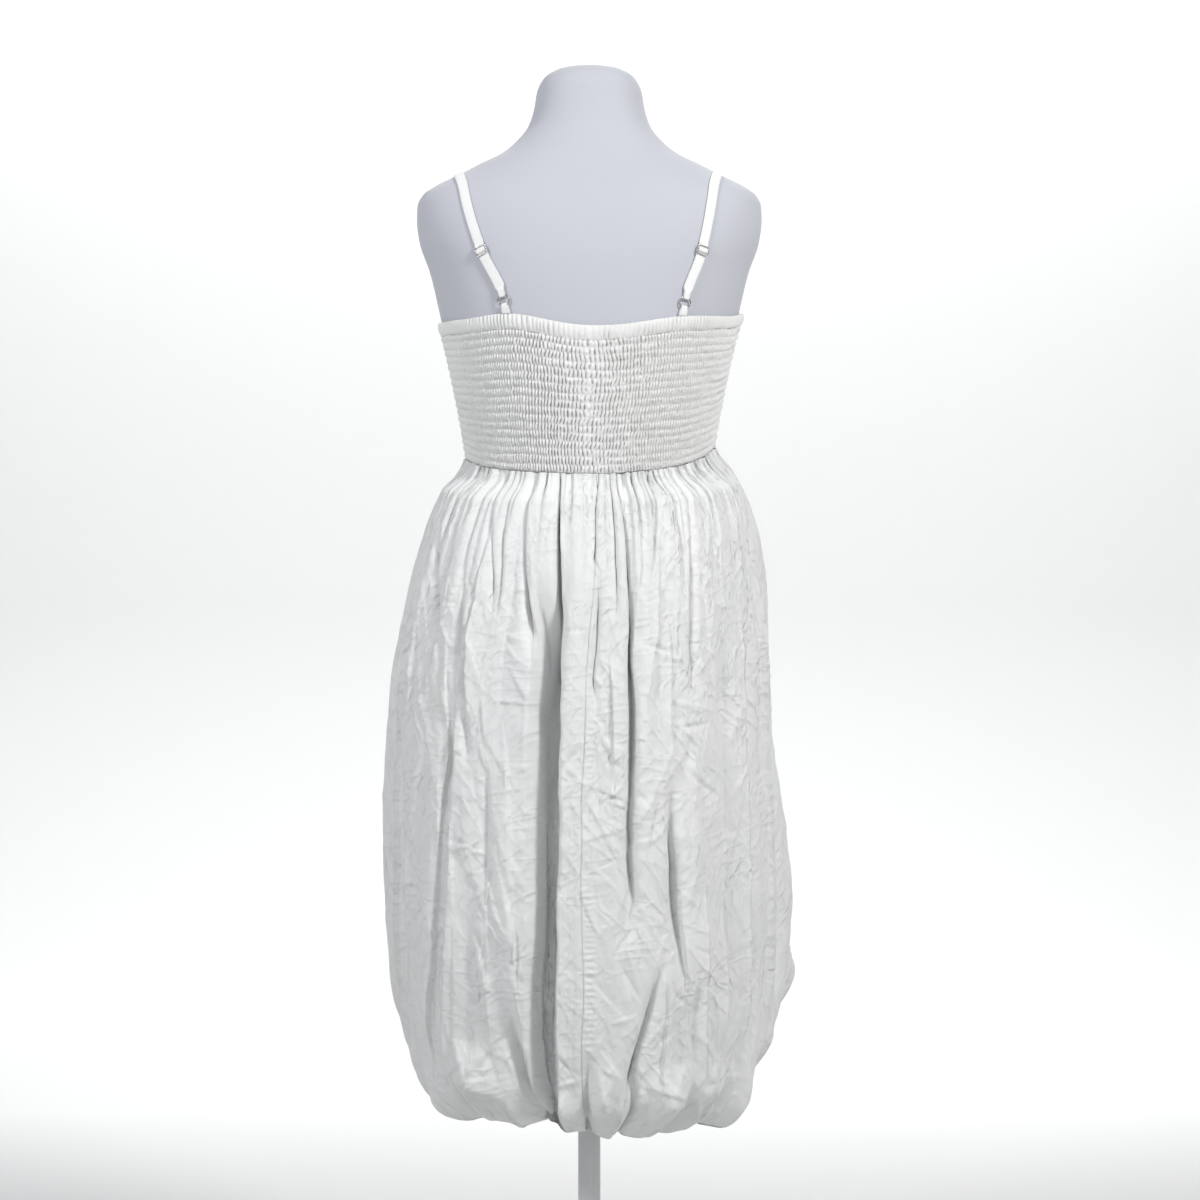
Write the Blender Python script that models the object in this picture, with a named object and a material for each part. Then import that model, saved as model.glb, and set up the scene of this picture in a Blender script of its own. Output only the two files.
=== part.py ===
"""Sundress with a shirred back, thin adjustable straps and a bubble hem, worn by a limbless dress form on a stand.

Metres, +Z up. The origin is on the floor under the middle of the stand. The back of the dress faces -Y and
its front +Y, and the wearer's left is at -X. Angles go round the dress from the centre back: 0 is -Y, 90 is
+X, 180 is the centre front and 270 is -X.
"""

import math
import random
from collections import namedtuple

import bmesh
import bpy
from mathutils import Vector

SEAM_GAP = 0.0003        # between two pieces that are sewn together
WAIST_GAP = 0.0005       # the same at the waist, where their edges curve
FORM_GAP = 0.0008        # between the form and the cloth that hugs it
FRONT_GAP = 0.0013       # the same for the plain front

# Dress form: its height, and the corner fullness of its level sections (2 would be an ellipse)
FORM_SQUARE = 2.25
FORM_SIDES = 36
BUST_HEIGHT = 1.160
BUST_SPREAD = 0.048      # how far up and down a bust mound fades
BUST_ANGLE = 32          # either side of the centre front
BUST_ARC = 24            # how far round a bust mound fades
BUST_DEPTH = 0.017
POLE_RADIUS = 0.0125
POLE_SIDES = 24
BASE_RADIUS = 0.18
BASE_SIDES = 36
BASE_EDGE = 0.006        # height of the base plate's rim
BASE_CROWN = 0.012       # height of the plate where its socket starts
SOCKET_RADIUS = 0.022
SOCKET_TOP = 0.050

# Bodice
SIDE_SEAM = 95           # degrees from the centre back
BODICE_WALL = 0.0012
FRONT_WALL = 0.0015
SHIRR_ROWS = 17          # rows of elastic under the casing
SHIRR_COLUMNS = 56       # half puckers from side seam to side seam
CASING = 0.014           # height of the turned top edge
PUFF = 0.0018            # how far the cloth puffs out between two rows of elastic
PUCKER = 0.0013          # how much less it puffs out in a crease
ELASTIC_PUCKER = 0.0004
FRONT_ROWS = 12

# Skirt
CENTRE_BACK_SEAM = 2     # degrees
SKIRT_WALL = 0.0015
SKIRT_SQUARE = 2.05
SEAM_FLARE = 0.0068      # how far the gathers stand off the form at the waist seam
GATHER_TOP = 0.0045      # depth of a gather at the seam, where it is deepest, and near the hem
GATHER_DEEP = 0.0080
GATHER_LOW = 0.0012
HEM_LEVEL = 0.353        # where the outline below ends; the hem itself goes up and down
SKIRT_DROPS = (0, 0.018, 0.045, 0.09, 0.17, 0.30, 0.46, 0.62, 0.75, 0.85, 0.93, 1)
LEFT_COLUMNS = 32
RIGHT_COLUMNS = 30
FRONT_COLUMNS = 56
POUCH_ANGLE = 96         # where the cloth bellies out over the right side seam
POUCH_ARC = 14
POUCH_DEPTH = 0.028
BAND_SIDES = 60
BAND_WALL = 0.0015
BAND_HEIGHT = 0.026
BAND_LIFT = 0.017        # of the band's lower edge above the bottom of the hem

# Straps, in their own frame: along the form, up from it and across
STRAP_WALL = 0.0010
STRAP_HALF = 0.0056
STRAP_STEPS = 34
STRAP_LOW = 0.0014       # height of the middle of the layer next to the form
STRAP_HIGH = 0.0029      # and of the layer that lies on it
LOOP_HIGH = 0.0044       # and of the same layer where it goes over the ring
LOOP_HALF = 0.0036       # half width where a strap or tab is gathered into the ring
TAB_HALF = 0.0046
RING_RADIUS = 0.0064     # to the middle of the wire
RING_WIRE = 0.00075
RING_MIDDLE = 0.0029     # height of the ring's plane
RING_AT = 0.0145         # from the edge of the bodice
SLIDER_AT = 0.0755
SLIDER_HALF_WIDTH = 0.0072
SLIDER_HALF_HEIGHT = 0.0055
SLIDER_BAR = 0.0012
SLIDER_MIDDLE = 0.0043
SLIDER_HUMP = 0.0057     # height of the strap where it crosses the slider's middle bar

FormRing = namedtuple("FormRing", "height width back front lean")
FORM = [
    FormRing(0.735, 0.150, 0.100, 0.100, 0.000),
    FormRing(0.760, 0.163, 0.112, 0.110, 0.000),
    FormRing(0.820, 0.170, 0.118, 0.114, 0.000),
    FormRing(0.890, 0.163, 0.110, 0.108, 0.000),
    FormRing(0.960, 0.140, 0.093, 0.100, 0.000),
    FormRing(1.010, 0.1315, 0.086, 0.098, 0.000),
    FormRing(1.045, 0.1320, 0.086, 0.101, 0.000),
    FormRing(1.080, 0.1350, 0.089, 0.105, 0.000),
    FormRing(1.105, 0.1390, 0.0925, 0.108, 0.000),
    FormRing(1.125, 0.1425, 0.0955, 0.110, 0.000),
    FormRing(1.145, 0.1465, 0.0985, 0.111, 0.000),
    FormRing(1.165, 0.1505, 0.1010, 0.112, 0.000),
    FormRing(1.185, 0.1550, 0.1035, 0.112, 0.000),
    FormRing(1.205, 0.1595, 0.1055, 0.111, 0.000),
    FormRing(1.225, 0.1640, 0.1070, 0.108, 0.000),
    FormRing(1.250, 0.1695, 0.107, 0.104, 0.000),
    FormRing(1.285, 0.1780, 0.105, 0.097, 0.000),
    FormRing(1.320, 0.1900, 0.100, 0.086, 0.001),
    FormRing(1.345, 0.1930, 0.094, 0.077, 0.002),
    FormRing(1.360, 0.1925, 0.089, 0.072, 0.003),
    FormRing(1.372, 0.1870, 0.084, 0.067, 0.004),
    FormRing(1.383, 0.1720, 0.079, 0.063, 0.006),
    FormRing(1.395, 0.1480, 0.074, 0.059, 0.009),
    FormRing(1.407, 0.1260, 0.070, 0.057, 0.012),
    FormRing(1.420, 0.1000, 0.066, 0.055, 0.014),
    FormRing(1.435, 0.0820, 0.062, 0.054, 0.016),
    FormRing(1.452, 0.0690, 0.058, 0.054, 0.018),
    FormRing(1.472, 0.0625, 0.056, 0.054, 0.020),
    FormRing(1.492, 0.0590, 0.054, 0.053, 0.021),
    FormRing(1.506, 0.0520, 0.049, 0.048, 0.021),
    FormRing(1.516, 0.0370, 0.036, 0.035, 0.021),
    FormRing(1.520, 0.0180, 0.018, 0.018, 0.021),
]

SkirtRing = namedtuple("SkirtRing", "height left right back front")
SKIRT = [
    SkirtRing(0.353, 0.165, 0.160, 0.143, 0.143),
    SkirtRing(0.360, 0.174, 0.169, 0.152, 0.151),
    SkirtRing(0.382, 0.187, 0.180, 0.163, 0.162),
    SkirtRing(0.405, 0.198, 0.190, 0.172, 0.171),
    SkirtRing(0.427, 0.208, 0.195, 0.179, 0.177),
    SkirtRing(0.450, 0.217, 0.198, 0.184, 0.182),
    SkirtRing(0.494, 0.223, 0.201, 0.190, 0.188),
    SkirtRing(0.560, 0.228, 0.203, 0.194, 0.192),
    SkirtRing(0.651, 0.230, 0.203, 0.192, 0.191),
    SkirtRing(0.718, 0.229, 0.202, 0.187, 0.187),
    SkirtRing(0.786, 0.224, 0.201, 0.180, 0.181),
    SkirtRing(0.830, 0.220, 0.199, 0.174, 0.176),
    SkirtRing(0.875, 0.213, 0.197, 0.167, 0.170),
    SkirtRing(0.920, 0.204, 0.195, 0.159, 0.163),
    SkirtRing(0.965, 0.193, 0.192, 0.148, 0.153),
    SkirtRing(1.010, 0.179, 0.184, 0.129, 0.136),
    SkirtRing(1.040, 0.165, 0.173, 0.113, 0.127),
    SkirtRing(1.060, 0.152, 0.162, 0.103, 0.121),
    SkirtRing(1.110, 0.146, 0.149, 0.099, 0.119),
]

# Where the bodice ends above and below, round the dress
Edge = namedtuple("Edge", "angle top waist")
EDGES = [
    Edge(-95, 1.2295, 1.0790),
    Edge(-75, 1.2275, 1.0740),
    Edge(-55, 1.2270, 1.0665),
    Edge(-30, 1.2305, 1.0605),
    Edge(2, 1.2165, 1.0575),
    Edge(36, 1.2285, 1.0640),
    Edge(65, 1.2325, 1.0780),
    Edge(95, 1.2415, 1.0945),
    Edge(118, 1.2440, 1.0990),
    Edge(142, 1.2620, 1.1020),
    Edge(160, 1.2480, 1.1040),
    Edge(180, 1.2400, 1.1050),
    Edge(200, 1.2480, 1.1030),
    Edge(218, 1.2620, 1.0990),
    Edge(242, 1.2360, 1.0880),
    Edge(265, 1.2295, 1.0790),
]

# The lowest point of the bubble hem round the dress. It is drawn up at the right side seam
Hem = namedtuple("Hem", "angle height")
HEMS = [
    Hem(-95, 0.392),
    Hem(-76, 0.383),
    Hem(-60, 0.375),
    Hem(-45, 0.366),
    Hem(-31, 0.357),
    Hem(-24, 0.364),
    Hem(-17, 0.361),
    Hem(-7, 0.349),
    Hem(4, 0.345),
    Hem(15, 0.347),
    Hem(22, 0.342),
    Hem(33, 0.349),
    Hem(48, 0.358),
    Hem(62, 0.362),
    Hem(74, 0.368),
    Hem(86, 0.410),
    Hem(97, 0.450),
    Hem(108, 0.420),
    Hem(122, 0.374),
    Hem(140, 0.352),
    Hem(155, 0.362),
    Hem(170, 0.347),
    Hem(185, 0.350),
    Hem(200, 0.361),
    Hem(215, 0.347),
    Hem(232, 0.358),
    Hem(250, 0.374),
    Hem(265, 0.392),
]

# The largest folds of the skirt, as valleys: their angle where they start and end, half width and depth, and
# where they start and end between the waist seam (0) and the hem (1)
Fold = namedtuple("Fold", "upper lower half_width depth start end")
FOLDS = [
    Fold(-84, -84, 3.5, 0.010, 0.10, 0.95),
    Fold(-70, -48, 2.6, 0.009, 0.02, 0.30),
    Fold(-68, -66, 3.0, 0.008, 0.35, 0.98),
    Fold(-43, -52, 4.0, 0.009, 0.40, 0.97),
    Fold(-45, -32, 2.8, 0.010, 0.12, 0.50),
    Fold(-40, -29, 2.4, 0.010, 0.01, 0.24),
    Fold(-24, -16, 2.4, 0.012, 0.01, 0.33),
    Fold(-28, -27, 2.8, 0.007, 0.42, 0.70),
    Fold(-22, -21, 2.6, 0.012, 0.76, 0.99),
    Fold(-14, -15, 3.6, 0.038, 0.16, 0.97),
    Fold(-12, -10, 2.4, 0.013, 0.02, 0.24),
    Fold(3, 1, 2.4, 0.011, 0.02, 0.40),
    Fold(12, 14, 2.6, 0.012, 0.02, 0.38),
    Fold(14, 11, 2.8, 0.022, 0.24, 0.74),
    Fold(24, 20, 2.4, 0.008, 0.00, 0.18),
    Fold(37, 33, 2.6, 0.012, 0.02, 0.38),
    Fold(24, 29, 3.0, 0.016, 0.46, 0.76),
    Fold(24, 8, 3.0, 0.014, 0.70, 1.00),
    Fold(47, 47, 3.0, 0.011, 0.18, 0.72),
    Fold(63, 60, 3.0, 0.010, 0.12, 0.52),
    Fold(58, 66, 3.4, 0.011, 0.46, 0.97),
    Fold(82, 84, 3.2, 0.018, 0.30, 0.97),
    Fold(112, 112, 3.5, 0.016, 0.10, 0.98),
    Fold(124, 126, 3.0, 0.010, 0.05, 0.70),
    Fold(137, 134, 3.2, 0.024, 0.15, 0.95),
    Fold(151, 151, 3.0, 0.012, 0.10, 1.00),
    Fold(164, 166, 3.2, 0.032, 0.08, 0.90),
    Fold(178, 175, 3.0, 0.012, 0.20, 0.98),
    Fold(193, 194, 3.0, 0.020, 0.05, 0.92),
    Fold(207, 210, 3.2, 0.011, 0.25, 1.00),
    Fold(222, 220, 3.2, 0.028, 0.10, 0.95),
    Fold(236, 237, 3.0, 0.011, 0.10, 0.80),
    Fold(250, 248, 3.4, 0.018, 0.12, 0.97),
]

# Where the hem turns under, measured from its lowest point: inwards and upwards
Turn = namedtuple("Turn", "inwards up")
HEM_TURN = [Turn(0.010, 0.001), Turn(0.019, 0.012), Turn(0.021, 0.032)]

# A strap's way over the shoulder: the angle of a level line from the front at the form's middle, and x
StrapWay = namedtuple("StrapWay", "turn left right")
STRAP_WAY = [
    StrapWay(20, -0.1000, 0.1020),
    StrapWay(32, -0.1060, 0.1080),
    StrapWay(60, -0.1340, 0.1330),
    StrapWay(93, -0.1460, 0.1430),
    StrapWay(112, -0.1370, 0.1360),
    StrapWay(133, -0.1180, 0.1230),
    StrapWay(155, -0.0945, 0.1055),
    StrapWay(175, -0.0860, 0.0985),
]
STRAP_PIVOT = Vector((0, 0.005, 1.210))
STRAP_ENDS = {"left": (-30, 218), "right": (36, 142)}   # where it meets the bodice at the back and front


class Curves:
    """Smooth curves through the columns of a table, read along its first column. They never overshoot."""

    def __init__(self, rows):
        self.places = [row[0] for row in rows]
        self.columns = {name: self.column([getattr(row, name) for row in rows]) for name in rows[0]._fields[1:]}

    def column(self, values):
        steps = [
            (b - a) / (d - c)
            for a, b, c, d in zip(values, values[1:], self.places, self.places[1:])
        ]
        inner = [0 if p * q <= 0 else 2 * p * q / (p + q) for p, q in zip(steps, steps[1:])]
        return values, [steps[0], *inner, steps[-1]]

    def at(self, name, place):
        values, slopes = self.columns[name]
        place = min(max(place, self.places[0]), self.places[-1])
        i = 0
        while i < len(self.places) - 2 and place > self.places[i + 1]:
            i += 1
        span = self.places[i + 1] - self.places[i]
        t = (place - self.places[i]) / span
        rise = values[i + 1] - values[i]
        start, end = slopes[i] * span, slopes[i + 1] * span
        return values[i] + t * (start + t * (3 * rise - 2 * start - end + t * (start + end - 2 * rise)))


FORM_CURVES = Curves(FORM)
SKIRT_CURVES = Curves(SKIRT)
EDGE_CURVES = Curves(EDGES)
HEM_CURVES = Curves(HEMS)
STRAP_CURVES = Curves(STRAP_WAY)


def smooth(low, high, value):
    t = min(max((value - low) / (high - low), 0), 1)
    return t * t * (3 - 2 * t)


def bell(distance, width):
    return math.exp(-((distance / width) ** 2))


def turned(angle):
    """The angle in degrees between -95 and 265, as the tables have it."""
    return (angle + 95) % 360 - 95


def power(value, square):
    return math.copysign(abs(value) ** (2 / square), value)


# Dress form


def bust(angle, height, bridged):
    """How far a bust mound stands out of the form's plain section. Cloth bridges the hollow between them."""
    off = abs(turned(angle) - 180) - BUST_ANGLE
    off = max(off, 0) if bridged else abs(off)
    return BUST_DEPTH * bell(off, BUST_ARC) * bell(height - BUST_HEIGHT, BUST_SPREAD)


def form_point(angle, height, off=0.0, bridged=False):
    """A point of the form's surface, or off outside it."""
    s, c = math.sin(math.radians(angle)), math.cos(math.radians(angle))
    grow = off + bust(angle, height, bridged)
    width = FORM_CURVES.at("width", height) + grow
    depth = FORM_CURVES.at("back" if c > 0 else "front", height) + grow
    y = FORM_CURVES.at("lean", height) - depth * power(c, FORM_SQUARE)
    return Vector((width * power(s, FORM_SQUARE), y, height))


def form_shares(point):
    """How far across and how far forward a point is, as shares of the form's half width and depth."""
    away = point.y - FORM_CURVES.at("lean", point.z)
    depth = FORM_CURVES.at("back" if away < 0 else "front", point.z)
    return point.x / FORM_CURVES.at("width", point.z), away / depth


def form_fullness(point):
    """Less than 1 inside the form, apart from its bust mounds, and more than 1 outside."""
    across, forward = form_shares(point)
    return abs(across) ** FORM_SQUARE + abs(forward) ** FORM_SQUARE


def form_angle(point):
    """The angle that form_point would need for a point of the form."""
    across, forward = form_shares(point)
    half = FORM_SQUARE / 2
    s, c = math.copysign(abs(across) ** half, across), -math.copysign(abs(forward) ** half, forward)
    return turned(math.degrees(math.atan2(s, c)))


# Meshes


def solid(name, points, faces, material):
    """One closed mesh object with its faces pointing out."""
    mesh = bpy.data.meshes.new(name)
    mesh.from_pydata([tuple(p) for p in points], [], faces)
    model = bmesh.new()
    model.from_mesh(mesh)
    bmesh.ops.remove_doubles(model, verts=model.verts, dist=0.000001)
    bmesh.ops.recalc_face_normals(model, faces=model.faces)
    model.to_mesh(mesh)
    model.free()
    mesh.shade_smooth()
    mesh.set_sharp_from_angle(angle=math.radians(50))
    mesh.materials.append(material)
    made = bpy.data.objects.new(name, mesh)
    bpy.context.scene.collection.objects.link(made)
    return made


def stitched(first, second):
    """Triangles between two rows of points that run side by side and may differ in number."""
    faces, i, j = [], 0, 0
    last_i, last_j = len(first) - 1, len(second) - 1
    while i < last_i or j < last_j:
        if j == last_j or (i < last_i and (i + 1) / last_i <= (j + 1) / last_j):
            faces.append((first[i], first[i + 1], second[j]))
            i += 1
        else:
            faces.append((first[i], second[j + 1], second[j]))
            j += 1
    return faces


def panel(name, outer, inner, material):
    """A wall with two skins, each a grid of points in rows, closed round its four edges."""
    points, faces, grids = [], [], []
    for skin in (outer, inner):
        start = len(points)
        wide = len(skin[0])
        points += [p for row in skin for p in row]
        grids.append([[start + r * wide + c for c in range(wide)] for r in range(len(skin))])
        grid = grids[-1]
        for low, high in zip(grid, grid[1:]):
            faces += [(low[c], low[c + 1], high[c + 1], high[c]) for c in range(wide - 1)]
    rims = [
        [g[0] for g in grids],
        [g[-1] for g in grids],
        [[row[0] for row in g] for g in grids],
        [[row[-1] for row in g] for g in grids],
    ]
    for first, second in rims:
        if len(first) == len(second):
            faces += [(a, b, d, c) for a, b, c, d in zip(first, first[1:], second, second[1:])]
        else:
            faces += stitched(first, second)
    return solid(name, points, faces, material)


def rings(name, loops, material, closed=False):
    """A solid through a row of loops of points: capped at both ends, or closed on itself."""
    points = [p for loop in loops for p in loop]
    sides = len(loops[0])
    pairs = list(zip(range(len(loops)), range(1, len(loops)))) + ([(len(loops) - 1, 0)] if closed else [])
    faces = []
    for low, high in pairs:
        for i in range(sides):
            j = (i + 1) % sides
            faces.append((low * sides + i, low * sides + j, high * sides + j, high * sides + i))
    if not closed:
        faces += [tuple(range(sides)), tuple(range(len(points) - sides, len(points)))]
    return solid(name, points, faces, material)


def level_ring(radius, height, sides):
    steps = [2 * math.pi * i / sides for i in range(sides)]
    return [Vector((radius * math.cos(a), radius * math.sin(a), height)) for a in steps]


def finish(name, colour, roughness, metallic=0.0):
    made = bpy.data.materials.new(name)
    made.use_nodes = True
    shader = made.node_tree.nodes["Principled BSDF"]
    shader.inputs["Base Color"].default_value = (*colour, 1)
    shader.inputs["Roughness"].default_value = roughness
    shader.inputs["Metallic"].default_value = metallic
    return made


# Form and stand


def make_form(jersey, lacquer):
    angles = [5 + 360 * i / FORM_SIDES for i in range(FORM_SIDES)]
    rings("form_torso", [[form_point(a, ring.height) for a in angles] for ring in FORM], jersey)
    pole_bottom, pole_top = SOCKET_TOP + SEAM_GAP, FORM[0].height - SEAM_GAP
    rings("form_pole", [level_ring(POLE_RADIUS, z, POLE_SIDES) for z in (pole_bottom, pole_top)], lacquer)
    outline = [
        (BASE_RADIUS, 0),
        (BASE_RADIUS, BASE_EDGE),
        (SOCKET_RADIUS * 1.25, BASE_CROWN),
        (SOCKET_RADIUS, BASE_CROWN * 1.4),
        (SOCKET_RADIUS * 0.9, SOCKET_TOP),
    ]
    rings("form_base", [level_ring(r, z, BASE_SIDES) for r, z in outline], lacquer)


# Bodice


def bodice_height(angle, share):
    """The height at an angle and a share of the way up from the waist seam to the top edge."""
    low = EDGE_CURVES.at("waist", turned(angle)) + WAIST_GAP / 2
    return low + (EDGE_CURVES.at("top", turned(angle)) - low) * share


def side_gap(height):
    """Degrees that a side edge stays back, so that two panels are a seam gap apart."""
    return math.degrees(SEAM_GAP / 2 / FORM_CURVES.at("back", height))


def shirred(row, column, rows):
    """How far the shirred cloth stands off the panel's plain skin."""
    crest = (column + row // 2) % 2 == 0
    if row > rows:
        return PUFF * (1.3 if row == rows + 2 else 0.9) - (0 if crest else PUCKER)
    if row % 2:
        return PUFF - (0 if crest else PUCKER)
    return ELASTIC_PUCKER if crest else 0


def make_bodice_back(cotton):
    """The shirred panel: puckers are raised in its outer skin, and its inner skin is plain."""
    rows = 2 * SHIRR_ROWS
    casing_share = CASING / (EDGES[0].top - EDGES[0].waist)
    shares = [(1 - casing_share) * r / rows for r in range(rows + 1)]
    shares += [1 - casing_share * k for k in (0.72, 0.3, 0)]
    edge = SIDE_SEAM - side_gap(BUST_HEIGHT)
    outer = []
    for row, share in enumerate(shares):
        line = []
        for column in range(SHIRR_COLUMNS + 1):
            angle = -edge + 2 * edge * column / SHIRR_COLUMNS
            off = FORM_GAP + BODICE_WALL + shirred(row, column, rows)
            line.append(form_point(angle, bodice_height(angle, share), off))
        outer.append(line)
    columns = 2 * SIDE_SEAM // 10
    plain_rows = 10
    inner = []
    for row in range(plain_rows + 1):
        line = []
        for column in range(columns + 1):
            angle = max(-edge, min(edge, -SIDE_SEAM + 10 * column))
            line.append(form_point(angle, bodice_height(angle, row / plain_rows), FORM_GAP))
        inner.append(line)
    panel("bodice_back", outer, inner, cotton)


def make_bodice_front(cotton):
    edge = side_gap(BUST_HEIGHT)
    columns = (360 - 2 * SIDE_SEAM) // 10
    skins = []
    for off in (FRONT_GAP + FRONT_WALL, FRONT_GAP):
        skin = []
        for row in range(FRONT_ROWS + 1):
            line = []
            for column in range(columns + 1):
                angle = min(max(SIDE_SEAM + 10 * column, SIDE_SEAM + edge), 360 - SIDE_SEAM - edge)
                height = bodice_height(angle, row / FRONT_ROWS)
                line.append(form_point(angle, height, off, bridged=True))
            skin.append(line)
        skins.append(skin)
    panel("bodice_front", *skins, cotton)


# Skirt


def skirt_outline(angle, drop):
    """The cloth's outermost place at an angle and a share of the way down, before its folds."""
    waist = EDGE_CURVES.at("waist", turned(angle)) - WAIST_GAP / 2
    even = waist + (HEM_LEVEL - waist) * drop
    height = waist + (HEM_CURVES.at("height", turned(angle)) - waist) * drop
    s, c = math.sin(math.radians(angle)), math.cos(math.radians(angle))
    belly = POUCH_DEPTH * bell(turned(angle) - POUCH_ANGLE, POUCH_ARC) * smooth(0.4, 0.85, drop)
    width = SKIRT_CURVES.at("right" if s > 0 else "left", even) + belly
    depth = SKIRT_CURVES.at("back" if c > 0 else "front", even) + belly
    free = Vector((width * power(s, SKIRT_SQUARE), -depth * power(c, SKIRT_SQUARE), height))
    sewn = form_point(angle, waist, SEAM_FLARE)
    sewn.z = height
    return sewn.lerp(free, smooth(0, 0.05, drop))


def fold_depth(angle, drop):
    """How far the large folds take the cloth in."""
    depth = 0
    for fold in FOLDS:
        share = min(max((drop - fold.start) / (fold.end - fold.start), 0), 1)
        middle = fold.upper + (fold.lower - fold.upper) * share
        off = (turned(angle) - middle + 180) % 360 - 180
        along = smooth(fold.start, fold.start + 0.15, drop) * (1 - smooth(fold.end - 0.12, fold.end, drop))
        depth += fold.depth * bell(off, fold.half_width) * along
    return depth


def gather_depths(seed, columns):
    """How far down each gather reaches, as a share of the skirt."""
    chance = random.Random(seed)
    return [chance.uniform(0.25, 0.7) for _ in range(columns + 1)]


def gather_depth(column, drop, reach):
    """How far a column of the skirt lies in because of its gathers. Every second one is a crease."""
    if column % 2 == 0:
        return 0
    deep = GATHER_TOP + (GATHER_DEEP - GATHER_TOP) * smooth(0, 0.05, drop)
    return GATHER_LOW + (deep - GATHER_LOW) * (1 - smooth(0.05, reach, drop)) if drop < 1 else 0


def skirt_column(angle, column, reach):
    """The outer and inner points down one column, from the waist seam round the turned hem."""
    out = Vector((math.sin(math.radians(angle)), -math.cos(math.radians(angle)), 0))
    outer = []
    for drop in SKIRT_DROPS:
        inwards = fold_depth(angle, drop) + gather_depth(column, drop, reach)
        outer.append(skirt_outline(angle, drop) - out * inwards)
    bottom = outer[-1]
    for turn in HEM_TURN:
        outer.append(bottom - out * turn.inwards + Vector((0, 0, turn.up)))
    inner = []
    for i, point in enumerate(outer):
        along = outer[min(i + 1, len(outer) - 1)] - outer[max(i - 1, 0)]
        run, rise = along.dot(out), along.z
        long = math.hypot(run, rise)
        inner.append(point + (out * rise - Vector((0, 0, run))) * (SKIRT_WALL / long))
    inner[0] = outer[0] - out * SKIRT_WALL
    return outer, inner


def make_skirt_panel(name, start, end, columns, seed, cotton):
    gap = math.degrees(SEAM_GAP / 2 / SKIRT[-1].back)
    start, end = start + gap, end - gap
    reaches = gather_depths(seed, columns)
    outer, inner = [], []
    for column in range(columns + 1):
        angle = start + (end - start) * column / columns
        skins = skirt_column(angle, column, reaches[column])
        outer.append(skins[0])
        inner.append(skins[1])
    panel(name, outer, inner, cotton)


def make_hem_band(elastic):
    """The band inside the turned edge, which keeps the bubble in."""
    clear = HEM_TURN[-1].inwards + SEAM_GAP
    loops = []
    for i in range(BAND_SIDES):
        angle = 360 * i / BAND_SIDES
        out = Vector((math.sin(math.radians(angle)), -math.cos(math.radians(angle)), 0))
        outside = skirt_outline(angle, 1) - out * clear
        low = Vector((0, 0, BAND_LIFT))
        high = low + Vector((0, 0, BAND_HEIGHT))
        inside = outside - out * BAND_WALL
        loops.append([outside + low, outside + high, inside + high, inside + low])
    rings("hem_band", loops, elastic, closed=True)


# Straps


class Strap:
    """A frame laid over the shoulder: along the strap from the back edge, up from the form and across."""

    def __init__(self, side):
        self.side = side
        self.ends = [EDGE_CURVES.at("top", angle) + SEAM_GAP for angle in STRAP_ENDS[side]]
        turns = [STRAP_WAY[-1].turn - i for i in range(STRAP_WAY[-1].turn - STRAP_WAY[0].turn + 1)]
        places = [self.on_form(turn) for turn in turns]
        first = self.crossing(places, turns, self.ends[0])
        last = self.crossing(places[::-1], turns[::-1], self.ends[1])
        turns = [first + (last - first) * i / 120 for i in range(121)]
        self.places = [self.on_form(turn) for turn in turns]
        self.lengths = [0]
        for a, b in zip(self.places, self.places[1:]):
            self.lengths.append(self.lengths[-1] + (b - a).length)
        self.length = self.lengths[-1]

    def crossing(self, places, turns, height):
        """The turn at which the way first rises past a height."""
        for place, following, turn, next_turn in zip(places, places[1:], turns, turns[1:]):
            if place.z <= height < following.z:
                return turn + (next_turn - turn) * (height - place.z) / (following.z - place.z)
        return turns[0]

    def on_form(self, turn):
        """The form's outermost point on a line from the pivot, at the strap's own x."""
        x = STRAP_CURVES.at(self.side, turn)
        ray = Vector((0, math.cos(math.radians(turn)), math.sin(math.radians(turn))))
        start = Vector((x, STRAP_PIVOT.y, STRAP_PIVOT.z))
        near, far = 0.02, 0.30
        for _ in range(40):
            middle = (near + far) / 2
            if form_fullness(start + ray * middle) < 1:
                near = middle
            else:
                far = middle
        return start + ray * near

    def frame(self, along):
        """Place, direction along, direction up and direction across at a distance from the back edge."""
        i = 1
        while i < len(self.lengths) - 1 and along > self.lengths[i]:
            i += 1
        low, high = max(i - 3, 0), min(i + 2, len(self.places) - 1)
        share = (along - self.lengths[i - 1]) / (self.lengths[i] - self.lengths[i - 1])
        place = self.places[i - 1] + (self.places[i] - self.places[i - 1]) * share
        forward = (self.places[high] - self.places[low]).normalized()
        up = self.normal(place)
        up = (up - forward * up.dot(forward)).normalized()
        return place, forward, up, forward.cross(up)

    def normal(self, place, step=0.0015):
        """Away from the form, from how its fullness changes round a point."""
        shifts = [Vector((step, 0, 0)), Vector((0, step, 0)), Vector((0, 0, step))]
        return Vector([form_fullness(place + s) - form_fullness(place - s) for s in shifts]).normalized()

    def point(self, along, up, across):
        """A point in this frame. One at either end is set level with the bodice's edge, a seam gap above it."""
        place, forward, normal, side = self.frame(along)
        point = place + normal * up + side * across
        if along in (0, self.length):
            edge = EDGE_CURVES.at("top", form_angle(point)) + SEAM_GAP
            point += forward * ((edge - point.z) / forward.z)
        return point


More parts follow.
